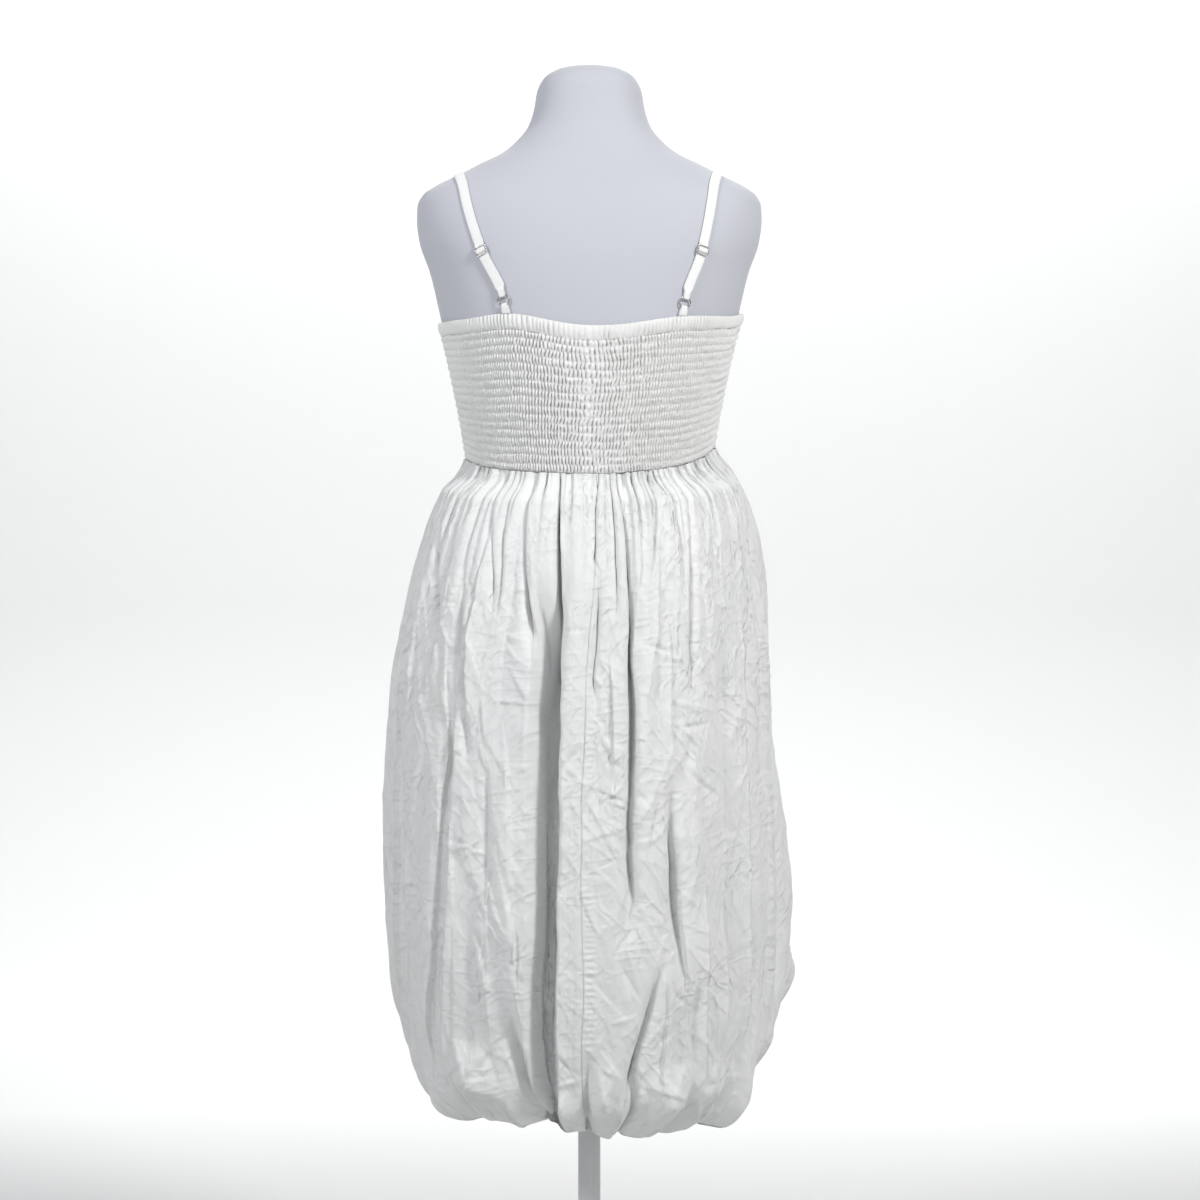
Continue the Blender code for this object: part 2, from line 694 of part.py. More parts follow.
def ribbon(name, strap, way, material):
    """A flat band along a way of (along, up, half width) in a strap's frame."""
    corners = [(-1, -1), (1, -1), (1, 1), (-1, 1)]
    loops = []
    for i, (along, up, half) in enumerate(way):
        before, after = way[max(i - 1, 0)], way[min(i + 1, len(way) - 1)]
        run, rise = after[0] - before[0], after[1] - before[1]
        if along in (0, strap.length):
            rise = 0
        out = Vector((-rise, run)).normalized() * (STRAP_WALL / 2)
        loops.append([strap.point(along + out.x * k, up + out.y * k, half * side) for side, k in corners])
    rings(name, loops, material)


def half_turn(middle_along, direction):
    """Points round the ring's wire from the upper layer to the lower one."""
    centre = (LOOP_HIGH + STRAP_LOW) / 2
    radius = (LOOP_HIGH - STRAP_LOW) / 2
    turns = [math.radians(a) for a in (90, 55, 20, -20, -55, -90)]
    return [(middle_along - direction * radius * math.cos(a), centre + radius * math.sin(a), LOOP_HALF) for a in turns]


def make_strap(side, strap, satin):
    """One band: from the front over the shoulder, over the slider's middle bar, round the ring and back."""
    turn_at = RING_AT + RING_RADIUS * 0.83
    way = [(strap.length * (1 - i / STRAP_STEPS), STRAP_LOW, STRAP_HALF) for i in range(STRAP_STEPS)]
    way = [step for step in way if step[0] > SLIDER_AT + 0.014]
    way += [
        (SLIDER_AT + 0.0100, STRAP_LOW, STRAP_HALF),
        (SLIDER_AT + 0.0065, STRAP_HIGH, STRAP_HALF),
        (SLIDER_AT + 0.0039, STRAP_HIGH, STRAP_HALF),
        (SLIDER_AT + 0.0009, SLIDER_HUMP, STRAP_HALF),
        (SLIDER_AT - 0.0009, SLIDER_HUMP, STRAP_HALF),
        (SLIDER_AT - 0.0039, STRAP_HIGH, STRAP_HALF),
        (SLIDER_AT - 0.0080, STRAP_HIGH, STRAP_HALF),
        (RING_AT + 0.0300, STRAP_HIGH, STRAP_HALF),
        (RING_AT + 0.0170, STRAP_HIGH, STRAP_HALF),
        (RING_AT + 0.0110, LOOP_HIGH, LOOP_HALF),
    ]
    way += half_turn(turn_at, 1)
    way += [
        (RING_AT + 0.0110, STRAP_LOW, LOOP_HALF),
        (RING_AT + 0.0170, STRAP_LOW, STRAP_HALF),
        (RING_AT + 0.0300, STRAP_LOW, STRAP_HALF),
        (SLIDER_AT - 0.0080, STRAP_LOW, STRAP_HALF),
        (SLIDER_AT, STRAP_LOW, STRAP_HALF),
    ]
    ribbon(f"strap_{side}", strap, way, satin)


def make_tab(side, strap, satin):
    """The loop from the bodice's edge round the ring's lower side."""
    turn_at = RING_AT - RING_RADIUS * 0.83
    way = [(0, STRAP_HIGH, TAB_HALF), (RING_AT * 0.22, LOOP_HIGH - 0.0006, TAB_HALF)]
    way += half_turn(turn_at, -1)
    way += [(RING_AT * 0.22, STRAP_LOW, TAB_HALF), (0, STRAP_LOW, TAB_HALF)]
    ribbon(f"tab_{side}", strap, way, satin)


def make_ring(side, strap, steel, sides=16, wire_sides=6):
    loops = []
    for i in range(sides):
        a = 2 * math.pi * i / sides
        loop = []
        for k in range(wire_sides):
            b = 2 * math.pi * k / wire_sides
            radius = RING_RADIUS + RING_WIRE * math.cos(b)
            up = RING_MIDDLE + RING_WIRE * math.sin(b)
            loop.append(strap.point(RING_AT + radius * math.cos(a), up, radius * math.sin(a)))
        loops.append(loop)
    rings(f"ring_{side}", loops, steel, closed=True)


def make_slider(side, strap, steel):
    """A frame with two slots, either side of a middle bar."""
    wide, tall, bar = SLIDER_HALF_WIDTH, SLIDER_HALF_HEIGHT, SLIDER_BAR
    across = [-wide, bar - wide, wide - bar, wide]
    along = [-tall, bar - tall, -bar / 2, bar / 2, tall - bar, tall]
    slots = {(1, 1), (3, 1)}
    cells = {(r, c) for r in range(5) for c in range(3)} - slots
    points, faces = [], []
    for up in (SLIDER_MIDDLE - bar / 2, SLIDER_MIDDLE + bar / 2):
        points += [strap.point(SLIDER_AT + s, up, x) for s in along for x in across]
    layer = len(along) * len(across)
    for r, c in sorted(cells):
        at = [r * 4 + c, r * 4 + c + 1, (r + 1) * 4 + c + 1, (r + 1) * 4 + c]
        faces += [tuple(at[::-1]), tuple(i + layer for i in at)]
        sides = {(r - 1, c): (at[0], at[1]), (r, c + 1): (at[1], at[2])}
        sides |= {(r + 1, c): (at[2], at[3]), (r, c - 1): (at[3], at[0])}
        faces += [(a, b, b + layer, a + layer) for cell, (a, b) in sides.items() if cell not in cells]
    solid(f"slider_{side}", points, faces, steel)


def main():
    for old in list(bpy.data.objects):
        bpy.data.objects.remove(old)
    cotton = finish("cotton", (0.86, 0.87, 0.87), 0.85)
    satin = finish("strap_cotton", (0.90, 0.90, 0.90), 0.6)
    elastic = finish("elastic", (0.84, 0.84, 0.83), 0.8)
    jersey = finish("form_jersey", (0.68, 0.69, 0.76), 0.8)
    lacquer = finish("stand_lacquer", (0.82, 0.82, 0.83), 0.4)
    steel = finish("steel", (0.60, 0.58, 0.55), 0.3, 1.0)
    make_form(jersey, lacquer)
    make_bodice_back(cotton)
    make_bodice_front(cotton)
    make_skirt_panel("skirt_back_left", -SIDE_SEAM, CENTRE_BACK_SEAM, LEFT_COLUMNS, 1, cotton)
    make_skirt_panel("skirt_back_right", CENTRE_BACK_SEAM, SIDE_SEAM, RIGHT_COLUMNS, 2, cotton)
    make_skirt_panel("skirt_front", SIDE_SEAM, 360 - SIDE_SEAM, FRONT_COLUMNS, 3, cotton)
    make_hem_band(elastic)
    for side in ("left", "right"):
        strap = Strap(side)
        make_strap(side, strap, satin)
        make_tab(side, strap, satin)
        make_ring(side, strap, steel)
        make_slider(side, strap, steel)


main()
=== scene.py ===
"""Looks of the sundress on its dress form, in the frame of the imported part.

The cloth has its folds, shirring and creases, and the strap fittings, the form and its stand are finished.

Metres, +Z up. The back of the dress faces -Y. Angles go round the dress from the centre back: 0 is -Y,
90 is +X and 180 is the centre front. The tables are the part's own, with the smaller folds added.
"""

import math
from collections import namedtuple

import bpy
import numpy as np
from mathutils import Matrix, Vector


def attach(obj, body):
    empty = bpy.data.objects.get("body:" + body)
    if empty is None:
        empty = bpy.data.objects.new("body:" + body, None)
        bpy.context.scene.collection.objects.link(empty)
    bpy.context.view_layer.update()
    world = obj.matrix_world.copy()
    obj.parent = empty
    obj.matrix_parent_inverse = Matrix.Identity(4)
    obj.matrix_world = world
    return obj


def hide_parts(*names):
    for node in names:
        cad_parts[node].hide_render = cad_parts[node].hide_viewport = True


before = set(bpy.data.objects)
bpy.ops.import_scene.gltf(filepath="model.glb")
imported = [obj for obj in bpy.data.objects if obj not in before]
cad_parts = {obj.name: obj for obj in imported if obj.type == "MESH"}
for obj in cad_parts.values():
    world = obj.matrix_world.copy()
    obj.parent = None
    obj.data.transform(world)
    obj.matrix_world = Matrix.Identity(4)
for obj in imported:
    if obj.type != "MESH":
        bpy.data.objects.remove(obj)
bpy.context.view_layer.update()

# Photograph: 1200 x 1200 pixels, each 1.12 mm in the plane of the form's middle
VIEW_CENTRE = (0.012, 0.92)
VIEW_DISTANCE = 3.0
VIEW_WIDTH = 1.344
SENSOR = 36

# Form
FORM_SQUARE = 2.25
BUST_HEIGHT = 1.160
BUST_SPREAD = 0.048
BUST_ANGLE = 32
BUST_ARC = 24
BUST_DEPTH = 0.017

# Bodice
SIDE_SEAM = 95
FORM_GAP = 0.0008
FRONT_GAP = 0.0013
SHIRR_ROWS = 17
PUCKERS = 136
CASING = 0.014
CLOTH = 0.0012

# Skirt
CENTRE_BACK_SEAM = 2
ALLOWANCE_EDGE = 79
SKIRT_SQUARE = 2.05
SEAM_FLARE = 0.0068
HEM_LEVEL = 0.353
HEM_ROUND = 0.030
POUCH_ANGLE = 96
POUCH_ARC = 14
POUCH_DEPTH = 0.028
ARC = 0.0035             # metres round the skirt for each degree
DROP = 0.72              # metres from the waist seam to the hem
SEAM_GAP = 0.0003
SEAM_MARGIN = 0.00004    # half the gap between two panels of cloth

# Straps
STRAP_WALL = 0.0010
STRAP_HALF = 0.0056
STRAP_LOW = 0.0014
STRAP_HIGH = 0.0029
LOOP_HIGH = 0.0044
LOOP_HALF = 0.0036
TAB_HALF = 0.0046
RING_RADIUS = 0.0064
RING_WIRE = 0.00075
RING_MIDDLE = 0.0029
RING_AT = 0.0145
SLIDER_AT = 0.0755
SLIDER_HALF_WIDTH = 0.0072
SLIDER_HALF_HEIGHT = 0.0055
SLIDER_WIRE = 0.0006
SLIDER_MIDDLE = 0.0043
SLIDER_HUMP = 0.0057


def table(name, columns, *rows):
    """Rows of a table, with its columns' names."""
    kind = namedtuple(name, columns)
    return [kind(*row) for row in rows]


FORM = table(
    "FormRing", "height width back front lean",
    (0.735, 0.15, 0.1, 0.1, 0), (0.76, 0.163, 0.112, 0.11, 0), (0.82, 0.17, 0.118, 0.114, 0),
    (0.89, 0.163, 0.11, 0.108, 0), (0.96, 0.14, 0.093, 0.1, 0), (1.01, 0.1315, 0.086, 0.098, 0),
    (1.045, 0.132, 0.086, 0.101, 0), (1.08, 0.135, 0.089, 0.105, 0), (1.105, 0.139, 0.0925, 0.108, 0),
    (1.125, 0.1425, 0.0955, 0.11, 0), (1.145, 0.1465, 0.0985, 0.111, 0), (1.165, 0.1505, 0.101, 0.112, 0),
    (1.185, 0.155, 0.1035, 0.112, 0), (1.205, 0.1595, 0.1055, 0.111, 0), (1.225, 0.164, 0.107, 0.108, 0),
    (1.25, 0.1695, 0.107, 0.104, 0), (1.285, 0.178, 0.105, 0.097, 0), (1.32, 0.19, 0.1, 0.086, 0.001),
    (1.345, 0.193, 0.094, 0.077, 0.002), (1.36, 0.1925, 0.089, 0.072, 0.003),
    (1.372, 0.187, 0.084, 0.067, 0.004), (1.383, 0.172, 0.079, 0.063, 0.006),
    (1.395, 0.148, 0.074, 0.059, 0.009), (1.407, 0.126, 0.07, 0.057, 0.012),
    (1.42, 0.1, 0.066, 0.055, 0.014), (1.435, 0.082, 0.062, 0.054, 0.016),
    (1.452, 0.069, 0.058, 0.054, 0.018), (1.472, 0.0625, 0.056, 0.054, 0.02),
    (1.492, 0.059, 0.054, 0.053, 0.021), (1.506, 0.052, 0.049, 0.048, 0.021),
    (1.516, 0.037, 0.036, 0.035, 0.021), (1.52, 0.018, 0.018, 0.018, 0.021),
)

SKIRT = table(
    "SkirtRing", "height left right back front",
    (0.353, 0.165, 0.16, 0.143, 0.143), (0.36, 0.174, 0.169, 0.152, 0.151),
    (0.382, 0.187, 0.18, 0.163, 0.162), (0.405, 0.198, 0.19, 0.172, 0.171),
    (0.427, 0.208, 0.195, 0.179, 0.177), (0.45, 0.217, 0.198, 0.184, 0.182),
    (0.494, 0.223, 0.201, 0.19, 0.188), (0.56, 0.228, 0.203, 0.194, 0.192),
    (0.651, 0.23, 0.203, 0.192, 0.191), (0.718, 0.229, 0.202, 0.187, 0.187),
    (0.786, 0.224, 0.201, 0.18, 0.181), (0.83, 0.22, 0.199, 0.174, 0.176),
    (0.875, 0.213, 0.197, 0.167, 0.17), (0.92, 0.204, 0.195, 0.159, 0.163),
    (0.965, 0.193, 0.192, 0.148, 0.153), (1.01, 0.179, 0.184, 0.129, 0.136),
    (1.04, 0.165, 0.173, 0.113, 0.127), (1.06, 0.152, 0.162, 0.103, 0.121),
    (1.11, 0.146, 0.149, 0.099, 0.119),
)

EDGES = table(
    "Edge", "angle top waist",
    (-95, 1.2295, 1.079), (-75, 1.2275, 1.074), (-55, 1.227, 1.0665), (-30, 1.2305, 1.0605),
    (2, 1.2165, 1.0575), (36, 1.2285, 1.064), (65, 1.2325, 1.078), (95, 1.2415, 1.0945),
    (118, 1.244, 1.099), (142, 1.262, 1.102), (160, 1.248, 1.104), (180, 1.24, 1.105),
    (200, 1.248, 1.103), (218, 1.262, 1.099), (242, 1.236, 1.088), (265, 1.2295, 1.079),
)

HEMS = table(
    "Hem", "angle height",
    (-95, 0.392), (-76, 0.383), (-60, 0.375), (-45, 0.366), (-31, 0.357), (-24, 0.364), (-17, 0.361),
    (-7, 0.349), (4, 0.345), (15, 0.347), (22, 0.342), (33, 0.349), (48, 0.358), (62, 0.362), (74, 0.368),
    (86, 0.41), (97, 0.45), (108, 0.42), (122, 0.374), (140, 0.352), (155, 0.362), (170, 0.347),
    (185, 0.35), (200, 0.361), (215, 0.347), (232, 0.358), (250, 0.374), (265, 0.392),
)

STRAP_WAY = table(
    "StrapWay", "turn left right",
    (20, -0.1, 0.102), (32, -0.106, 0.108), (60, -0.134, 0.133), (93, -0.146, 0.143),
    (112, -0.137, 0.136), (133, -0.118, 0.123), (155, -0.0945, 0.1055), (175, -0.086, 0.0985),
)
STRAP_PIVOT = Vector((0, 0.005, 1.210))
STRAP_ENDS = {"left": (-30, 218), "right": (36, 142)}

# Folds of the skirt as valleys. Power 1 is a sharp valley, 2 a round one and 6 a flat one with steep sides.
# Lean is how far one edge is drawn over the valley, the left edge where it is positive
FOLDS = table(
    "Fold", "upper lower bend half_width depth start end power lean",
    (-84, -84, 0, 2.6, 0.01, 0.1, 0.95, 1.6, 0.002), (-78, -50, 0, 0.9, 0.012, 0.01, 0.24, 1.5, 0.005),
    (-68, -46, 0, 1.2, 0.01, 0.04, 0.32, 1.4, 0.001), (-68, -70, 6, 3, 0.007, 0.35, 0.98, 1.6, 0),
    (-47, -56, 9, 3.4, 0.006, 0.28, 0.97, 3, 0.004), (-45, -32, 0, 1.6, 0.009, 0.12, 0.5, 1.6, 0.001),
    (-40, -29, 0, 0.9, 0.011, 0, 0.24, 1.3, 0.005), (-31, -27, 0, 0.8, 0.008, 0.02, 0.25, 1.4, -0.001),
    (-24, -16, 0, 1.2, 0.017, 0, 0.33, 3, 0.006), (-28, -27, 0, 1.2, 0.006, 0.42, 0.7, 1.4, 0.001),
    (-22, -23, 0, 2.4, 0.028, 0.78, 1.4, 1.5, 0.005),
    (-12.5, -16.2, 1.2, 5.1, 0.044, 0.15, 1.2, 12, 0.009), (-8, -11, 0, 2.6, 0.014, 0.12, 0.42, 2, 0.001),
    (-12, -9, 0, 1.4, 0.02, 0, 0.26, 4, 0.004), (3, 0, 0, 0.7, 0.012, 0, 0.17, 1.2, 0.002),
    (3, 1, 0, 1.3, 0.011, 0.12, 0.4, 1.5, -0.001), (8, 8, 0, 0.7, 0.009, 0, 0.26, 1.2, 0.001),
    (11, 15, 0, 1, 0.014, 0, 0.34, 1.8, -0.004), (15.5, 12, 0, 2.3, 0.02, 0.14, 0.72, 2.6, -0.005),
    (17, 17, 0, 0.7, 0.008, 0, 0.12, 1.4, 0), (26, 20, 0, 0.7, 0.01, 0, 0.17, 1.2, 0.001),
    (38, 33, 0, 1, 0.015, 0, 0.36, 2, -0.006), (24, 30, 0, 2.3, 0.016, 0.44, 0.78, 2.2, -0.006),
    (24, 8, 0, 1.6, 0.016, 0.7, 1, 1.6, -0.003), (34, 34, 0, 0.9, 0.008, 0.74, 0.92, 1.3, 0),
    (47, 48, -1, 2.2, 0.006, 0.18, 0.9, 1.6, 0), (66, 60, 0, 1.6, 0.008, 0.08, 0.52, 1.6, 0.001),
    (58, 66, 0, 2.2, 0.009, 0.46, 0.97, 2.6, -0.002), (-65, -65, 0, 2, 0.014, 0.9, 1.3, 1.6, 0),
    (0, -3, 0, 2.6, 0.028, 0.84, 1.4, 1.4, 0.003), (14, 18, 0, 2.8, 0.03, 0.84, 1.4, 1.4, -0.004),
    (33, 33, 0, 2.4, 0.018, 0.88, 1.4, 1.4, 0.003), (52, 50, 0, 2.6, 0.02, 0.88, 1.4, 1.4, 0),
    (-46, -46, 0, 2.4, 0.018, 0.88, 1.4, 1.4, -0.003), (82, 85, 1, 2.6, 0.011, 0.34, 0.97, 1.3, 0.002),
    (112, 112, 2, 2.4, 0.016, 0.1, 0.98, 1.8, 0.002), (124, 126, 0, 1.6, 0.01, 0.05, 0.7, 1.4, 0.001),
    (137, 134, -2, 2, 0.024, 0.15, 0.95, 2.4, -0.003), (151, 151, 2, 1.4, 0.012, 0.1, 1, 1.4, 0.001),
    (164, 166, 0, 2.6, 0.03, 0.08, 0.9, 3.5, 0.003), (178, 175, 1, 1.4, 0.012, 0.2, 0.98, 1.6, -0.001),
    (193, 194, -2, 2, 0.02, 0.05, 0.92, 2, 0.002), (207, 210, 0, 1.5, 0.011, 0.25, 1, 1.4, 0.001),
    (222, 220, 2, 2.4, 0.026, 0.1, 0.95, 3, -0.003), (236, 237, 0, 1.5, 0.011, 0.1, 0.8, 1.4, 0.001),
    (250, 248, -1, 2.2, 0.018, 0.12, 0.97, 1.8, 0.002),
)

# Pressed edges where one flat run of cloth laps over the next. The raised side is the left where facing is 1
LAPS = table(
    "Lap", "upper lower bend height start end reach facing",
    (-72, -72, 6, 0.0066, 0.22, 0.92, 10, 1), (-46, -60, 8, 0.0052, 0.24, 0.98, 7, 1),
    (-41, -50, 7, 0.0058, 0.3, 0.98, 9.35, -1), (-38, -34, 1, 0.0037, 0.1, 0.42, 5.1, -1),
    (-24, -22, 1, 0.0034, 0.36, 0.84, 5.95, 1), (-25, -20, 1, 0.0054, 0.56, 0.92, 4.25, 1),
    (-19, -18, 2, 0.0059, 0.18, 1, 8.5, 1), (-8, -12.5, 1.5, 0.0051, 0.34, 1, 5.1, -1),
    (6, 7, 1, 0.0048, 0.26, 0.47, 5.1, -1), (14, 16, 1, 0.0085, 0.08, 0.5, 6.8, -1),
    (24, 17, 0, 0.0031, 0.12, 0.38, 4.25, 1), (25, 27, -1, 0.0041, 0.22, 0.46, 5.95, 1),
    (27, 31, 1, 0.0071, 0.48, 0.84, 6.8, -1), (24, 21, 1, 0.0058, 0.7, 0.96, 5.1, -1),
    (36, 38, 0, 0.0052, 0.56, 0.96, 6, 1), (47, 46, -1, 0.0046, 0.34, 0.94, 6.5, 1),
    (57, 57, -1, 0.007, 0.2, 0.94, 8, 1), (73, 75, 0, 0.0064, 0.16, 0.96, 7, -1),
    (105, 103, 2, 0.0051, 0.15, 0.95, 7.65, 1), (119, 121, -2, 0.0041, 0.25, 0.9, 6.8, -1),
    (131, 128, 1, 0.0061, 0.1, 0.85, 7.65, 1), (143, 146, 0, 0.0037, 0.3, 0.97, 5.95, -1),
    (158, 160, 2, 0.0058, 0.08, 0.95, 7.65, 1), (171, 170, -1, 0.0048, 0.2, 0.75, 6.8, -1),
    (185, 187, 1, 0.0051, 0.1, 0.6, 6.8, 1), (200, 199, -2, 0.0041, 0.3, 0.96, 7.65, -1),
    (216, 214, 1, 0.0058, 0.12, 0.94, 6.8, 1), (229, 231, 0, 0.0044, 0.2, 0.8, 6.8, -1),
    (243, 241, 2, 0.0051, 0.1, 0.95, 7.65, 1),
)

# Sharp creases that show in the photograph, from one angle and height to another. The heights are in
# millimetres and the relief in tenths of one. They stand out where the relief is above 0
CREASES = table(
    "Crease", "angle height to_angle to_height relief",
    (-26.6, 811, -18.2, 811, 8), (-8.5, 884, 0.1, 888, -7), (19.7, 899, 25.8, 886, 6),
    (17, 873, 24.9, 863, -9), (-73.5, 812, -55.5, 843, 7), (-72.2, 833, -56.3, 855, -5),
    (-54.3, 866, -47.9, 873, 10), (-26.7, 890, -18.5, 875, 6), (-31.4, 867, -27.2, 870, -6),
    (0.1, 845, 4.1, 828, 9), (4.1, 828, 7.5, 857, 8), (0.1, 803, 7.3, 761, -7), (24.6, 816, 41.2, 803, 6),
    (25, 785, 39.7, 790, -9), (42.7, 912, 54.8, 912, 7), (58.8, 800, 83.2, 805, -5),
    (-70.3, 601, -50, 619, 10), (-68.8, 551, -55.7, 574, 6), (-67.9, 533, -47.1, 553, -6),
    (-31.9, 653, -27.5, 652, 9), (-32, 603, -25.5, 619, 8), (-36.7, 500, -20.5, 544, -7),
    (-24.4, 588, -20.5, 548, 6), (28.7, 748, 44.4, 706, -9), (30.4, 722, 39.5, 657, 7),
    (1.9, 699, 7.6, 723, -5), (5.2, 708, 15.8, 695, 10), (1.9, 695, 11.8, 672, 6),
    (16.8, 715, 18.6, 698, -6), (3.4, 564, 6.1, 584, 9), (6.2, 474, 13.5, 482, 8),
    (-41.6, 405, -26.7, 419, -7), (-11.5, 410, -3.2, 408, 6), (44.3, 386, 61.4, 369, -9),
    (1.6, 792, 9.4, 747, 7), (-0.7, 778, 3.1, 742, -5), (1, 796, 4.3, 778, 10),
    (-39.2, 765, -32.8, 750, 6), (-32.8, 750, -28.8, 666, -6), (-30.5, 814, -28.2, 766, 9),
    (-29.5, 766, -27.3, 740, 8), (-28.1, 725, -25.8, 688, -7), (-35.5, 813, -32.4, 792, 6),
    (7.2, 862, 3.5, 836, -9), (0.4, 878, 2.6, 854, 7), (-74.5, 810, -53.8, 842, -5),
    (-69.4, 788, -50.6, 812, 10), (-64, 713, -47.7, 743, 6), (-38.2, 665, -31.6, 659, -6),
    (-37.9, 654, -30, 663, 9), (15.5, 678, 18.7, 709, 8), (2.2, 773, 10, 739, -7),
    (4.3, 775, 15.6, 751, 6), (32.3, 766, 44.9, 717, -9), (46, 759, 53.6, 807, 7),
    (47.8, 748, 57.5, 795, -5), (25.2, 862, 30.1, 852, 10), (37.4, 824, 45.6, 810, 6),
    (60, 725, 78.7, 732, -6), (61.1, 703, 78, 710, 9), (-27, 624, -22.7, 572, 8),
    (-34.6, 485, -24.6, 514, -7), (-40.7, 461, -31, 496, 6), (-8.2, 436, -2.5, 419, -9),
    (-9.3, 457, -4, 423, 7), (3.4, 490, 7.5, 436, -5), (3.5, 447, 10, 411, 10), (0.4, 500, 7.1, 457, 6),
    (15.6, 489, 22.2, 466, -6), (20.7, 456, 26.3, 405, 9), (32.7, 464, 42.9, 422, 8),
    (9.4, 542, 15.6, 499, -7), (15.4, 605, 19.2, 573, 6), (-45.7, 748, -45.1, 599, 9),
    (-45.1, 599, -61.1, 391, -7), (-38.7, 739, -37.7, 580, 11), (-37.7, 580, -42.2, 428, -8),
    (-22.8, 767, -22, 625, 9), (-22, 625, -20.7, 488, -7), (-27.9, 677, -27.3, 598, 11),
    (-30.8, 571, -27.6, 513, -8), (21.7, 772, 23.2, 709, 9), (46.6, 770, 46.3, 599, -7),
    (46.3, 599, 45.3, 448, 11), (56, 812, 55.2, 683, -8), (55.2, 683, 58, 552, 9),
    (58, 552, 60.5, 420, -7), (75.2, 744, 73.3, 590, 11), (73.3, 590, 73.2, 491, -8),
    (54, 963, 57.5, 822, 9), (-48.6, 963, -47.4, 812, -7), (-38.7, 920, -40.6, 781, 11),
    (38.5, 963, 41.5, 824, -8), (23.2, 519, 24.3, 422, 9), (32, 539, 32.7, 431, -7),
    (38.5, 462, 40, 406, 11), (9.9, 605, 11.2, 511, -8), (28.3, 748, 43.9, 706, 9),
    (33.2, 702, 40.7, 648, -7), (3.4, 707, 10, 725, 11), (0.4, 783, 3.4, 710, -8),
    (-57.6, 704, -58.7, 595, 9), (-65, 680, -64.2, 528, -7), (-62.2, 898, -60.7, 768, 11),
    (-34.1, 512, -38.9, 429, -8), (-25.5, 455, -23.5, 417, 9), (-42.2, 388, -25.9, 444, -7),
    (-25.9, 444, -23.4, 377, 11), (-53.7, 395, -37.3, 429, -8), (-10, 408, 0.4, 416, 9),
    (4.2, 355, 10, 408, -7), (16.6, 407, 32.4, 386, 11), (34.9, 402, 52.6, 412, -8),
    (52.8, 378, 53.8, 412, 9),
)

# More creases at random. Slants are degrees and how far they spread, and spare is what the length grows by
RANDOM_CREASES = table(
    "Creases", "count slants shortest spare low high",
    (330, ((90, 6), (90, 6), (72, 8), (108, 8)), 0.050, 0.160, 0.0010, 0.0022),
    (300, ((45, 14), (135, 14), (60, 10), (120, 10)), 0.025, 0.060, 0.0008, 0.0020),
    (420, ((0, 14), (30, 20), (150, 20), (90, 20)), 0.010, 0.026, 0.0003, 0.0008),
)

# Puffs of the bubble hem: six-sided peaks with crisp ridges
PUFFS = table(
    "Puff", "angle height wide tall lift turn",
    (-74, 0.405, 10, 0.04, 0.0101, 10), (-57, 0.392, 8, 0.036, 0.013, 35),
    (-37, 0.402, 9, 0.048, 0.0188, 20), (-27, 0.372, 5, 0.024, 0.0116, 0),
    (-8, 0.376, 5, 0.03, 0.0145, 40), (4, 0.392, 6, 0.042, 0.0159, 15), (10, 0.364, 7, 0.026, 0.013, 50),
    (25, 0.384, 9, 0.046, 0.0217, 25), (42, 0.388, 9, 0.044, 0.0159, 5), (58, 0.38, 8, 0.036, 0.013, 45),
    (100, 0.47, 10, 0.06, 0.0116, 20), (118, 0.41, 9, 0.044, 0.0145, 40),
    (137, 0.385, 9, 0.05, 0.0188, 10), (153, 0.39, 7, 0.036, 0.013, 30),
    (171, 0.378, 10, 0.05, 0.0203, 15), (190, 0.385, 8, 0.04, 0.0145, 50),
    (210, 0.378, 9, 0.046, 0.0188, 35), (229, 0.388, 8, 0.04, 0.0145, 5),
    (249, 0.4, 10, 0.046, 0.0159, 25),
)

# Where the hem turns under, measured from its lowest point
HEM_TURN = table(
    "Turn", "step inwards up",
    (0, 0, 0), (0.2, 0.006, -0.001), (0.4, 0.0125, 0.0035), (0.7, 0.019, 0.012), (1, 0.0205, 0.033),
)

# Layers of gathers at the waist: degrees between them, their depth, and the drops where they fade out
GATHERS = table(
    "Gathers", "pitch depth nearest farthest",
    (3.3, 0.0058, 0.06, 0.3), (7.5, 0.004, 0.16, 0.5), (15, 0.004, 0.35, 0.95),
)

# Layers of crumple: the turn of their grain, its size, and how deep they are. They crease outwards above 0
CRUMPLE = table(
    "Crumple", "turn size depth seed",
    (0, (0.030, 1, 0.110), 0.0034, 11), (14, (0.016, 1, 0.070), -0.0016, 12),
    (-18, (0.015, 1, 0.070), 0.0012, 13), (65, (0.018, 1, 0.050), -0.0006, 14),
)

# Layers of noise over the cloth: how strong each is, and its grain's size across and up
Layer = namedtuple("Layer", "strength across up seed")
FOLD_WANDER = [Layer(1.1, 0.06, 0.10, 21), Layer(0.35, 0.02, 0.035, 22)]
CREASE_BEND = [Layer(1, 0.05, 0.05, 7), Layer(1, 0.05, 0.05, 8)]
SWELLS = [Layer(0.0040, 0.045, 0.26, 1), Layer(0.0018, 0.018, 0.12, 2)]
ROUGH_PLACES = Layer(0.7, 0.07, 0.09, 3)
CRUMPLE_SWAY = Layer(0.0026, 0.030, 0.080, 5)
HEM_LUMPS = [Layer(0.006, 0.034, 0.06, 25), Layer(0.005, 0.015, 0.03, 26)]
HEM_BULGE = Layer(0.006, 0.03, 0.2, 28)
HEM_WAVES = Layer(0.006, 0.028, 0.2, 27)
ROW_SWAY = Layer(0.16, 0.030, 0.012, 31)
PUCKER_SHIFT = Layer(0.35, 0.012, 0.008, 32)
PUCKER_SLANT = Layer(0.55, 0.045, 0.03, 33)
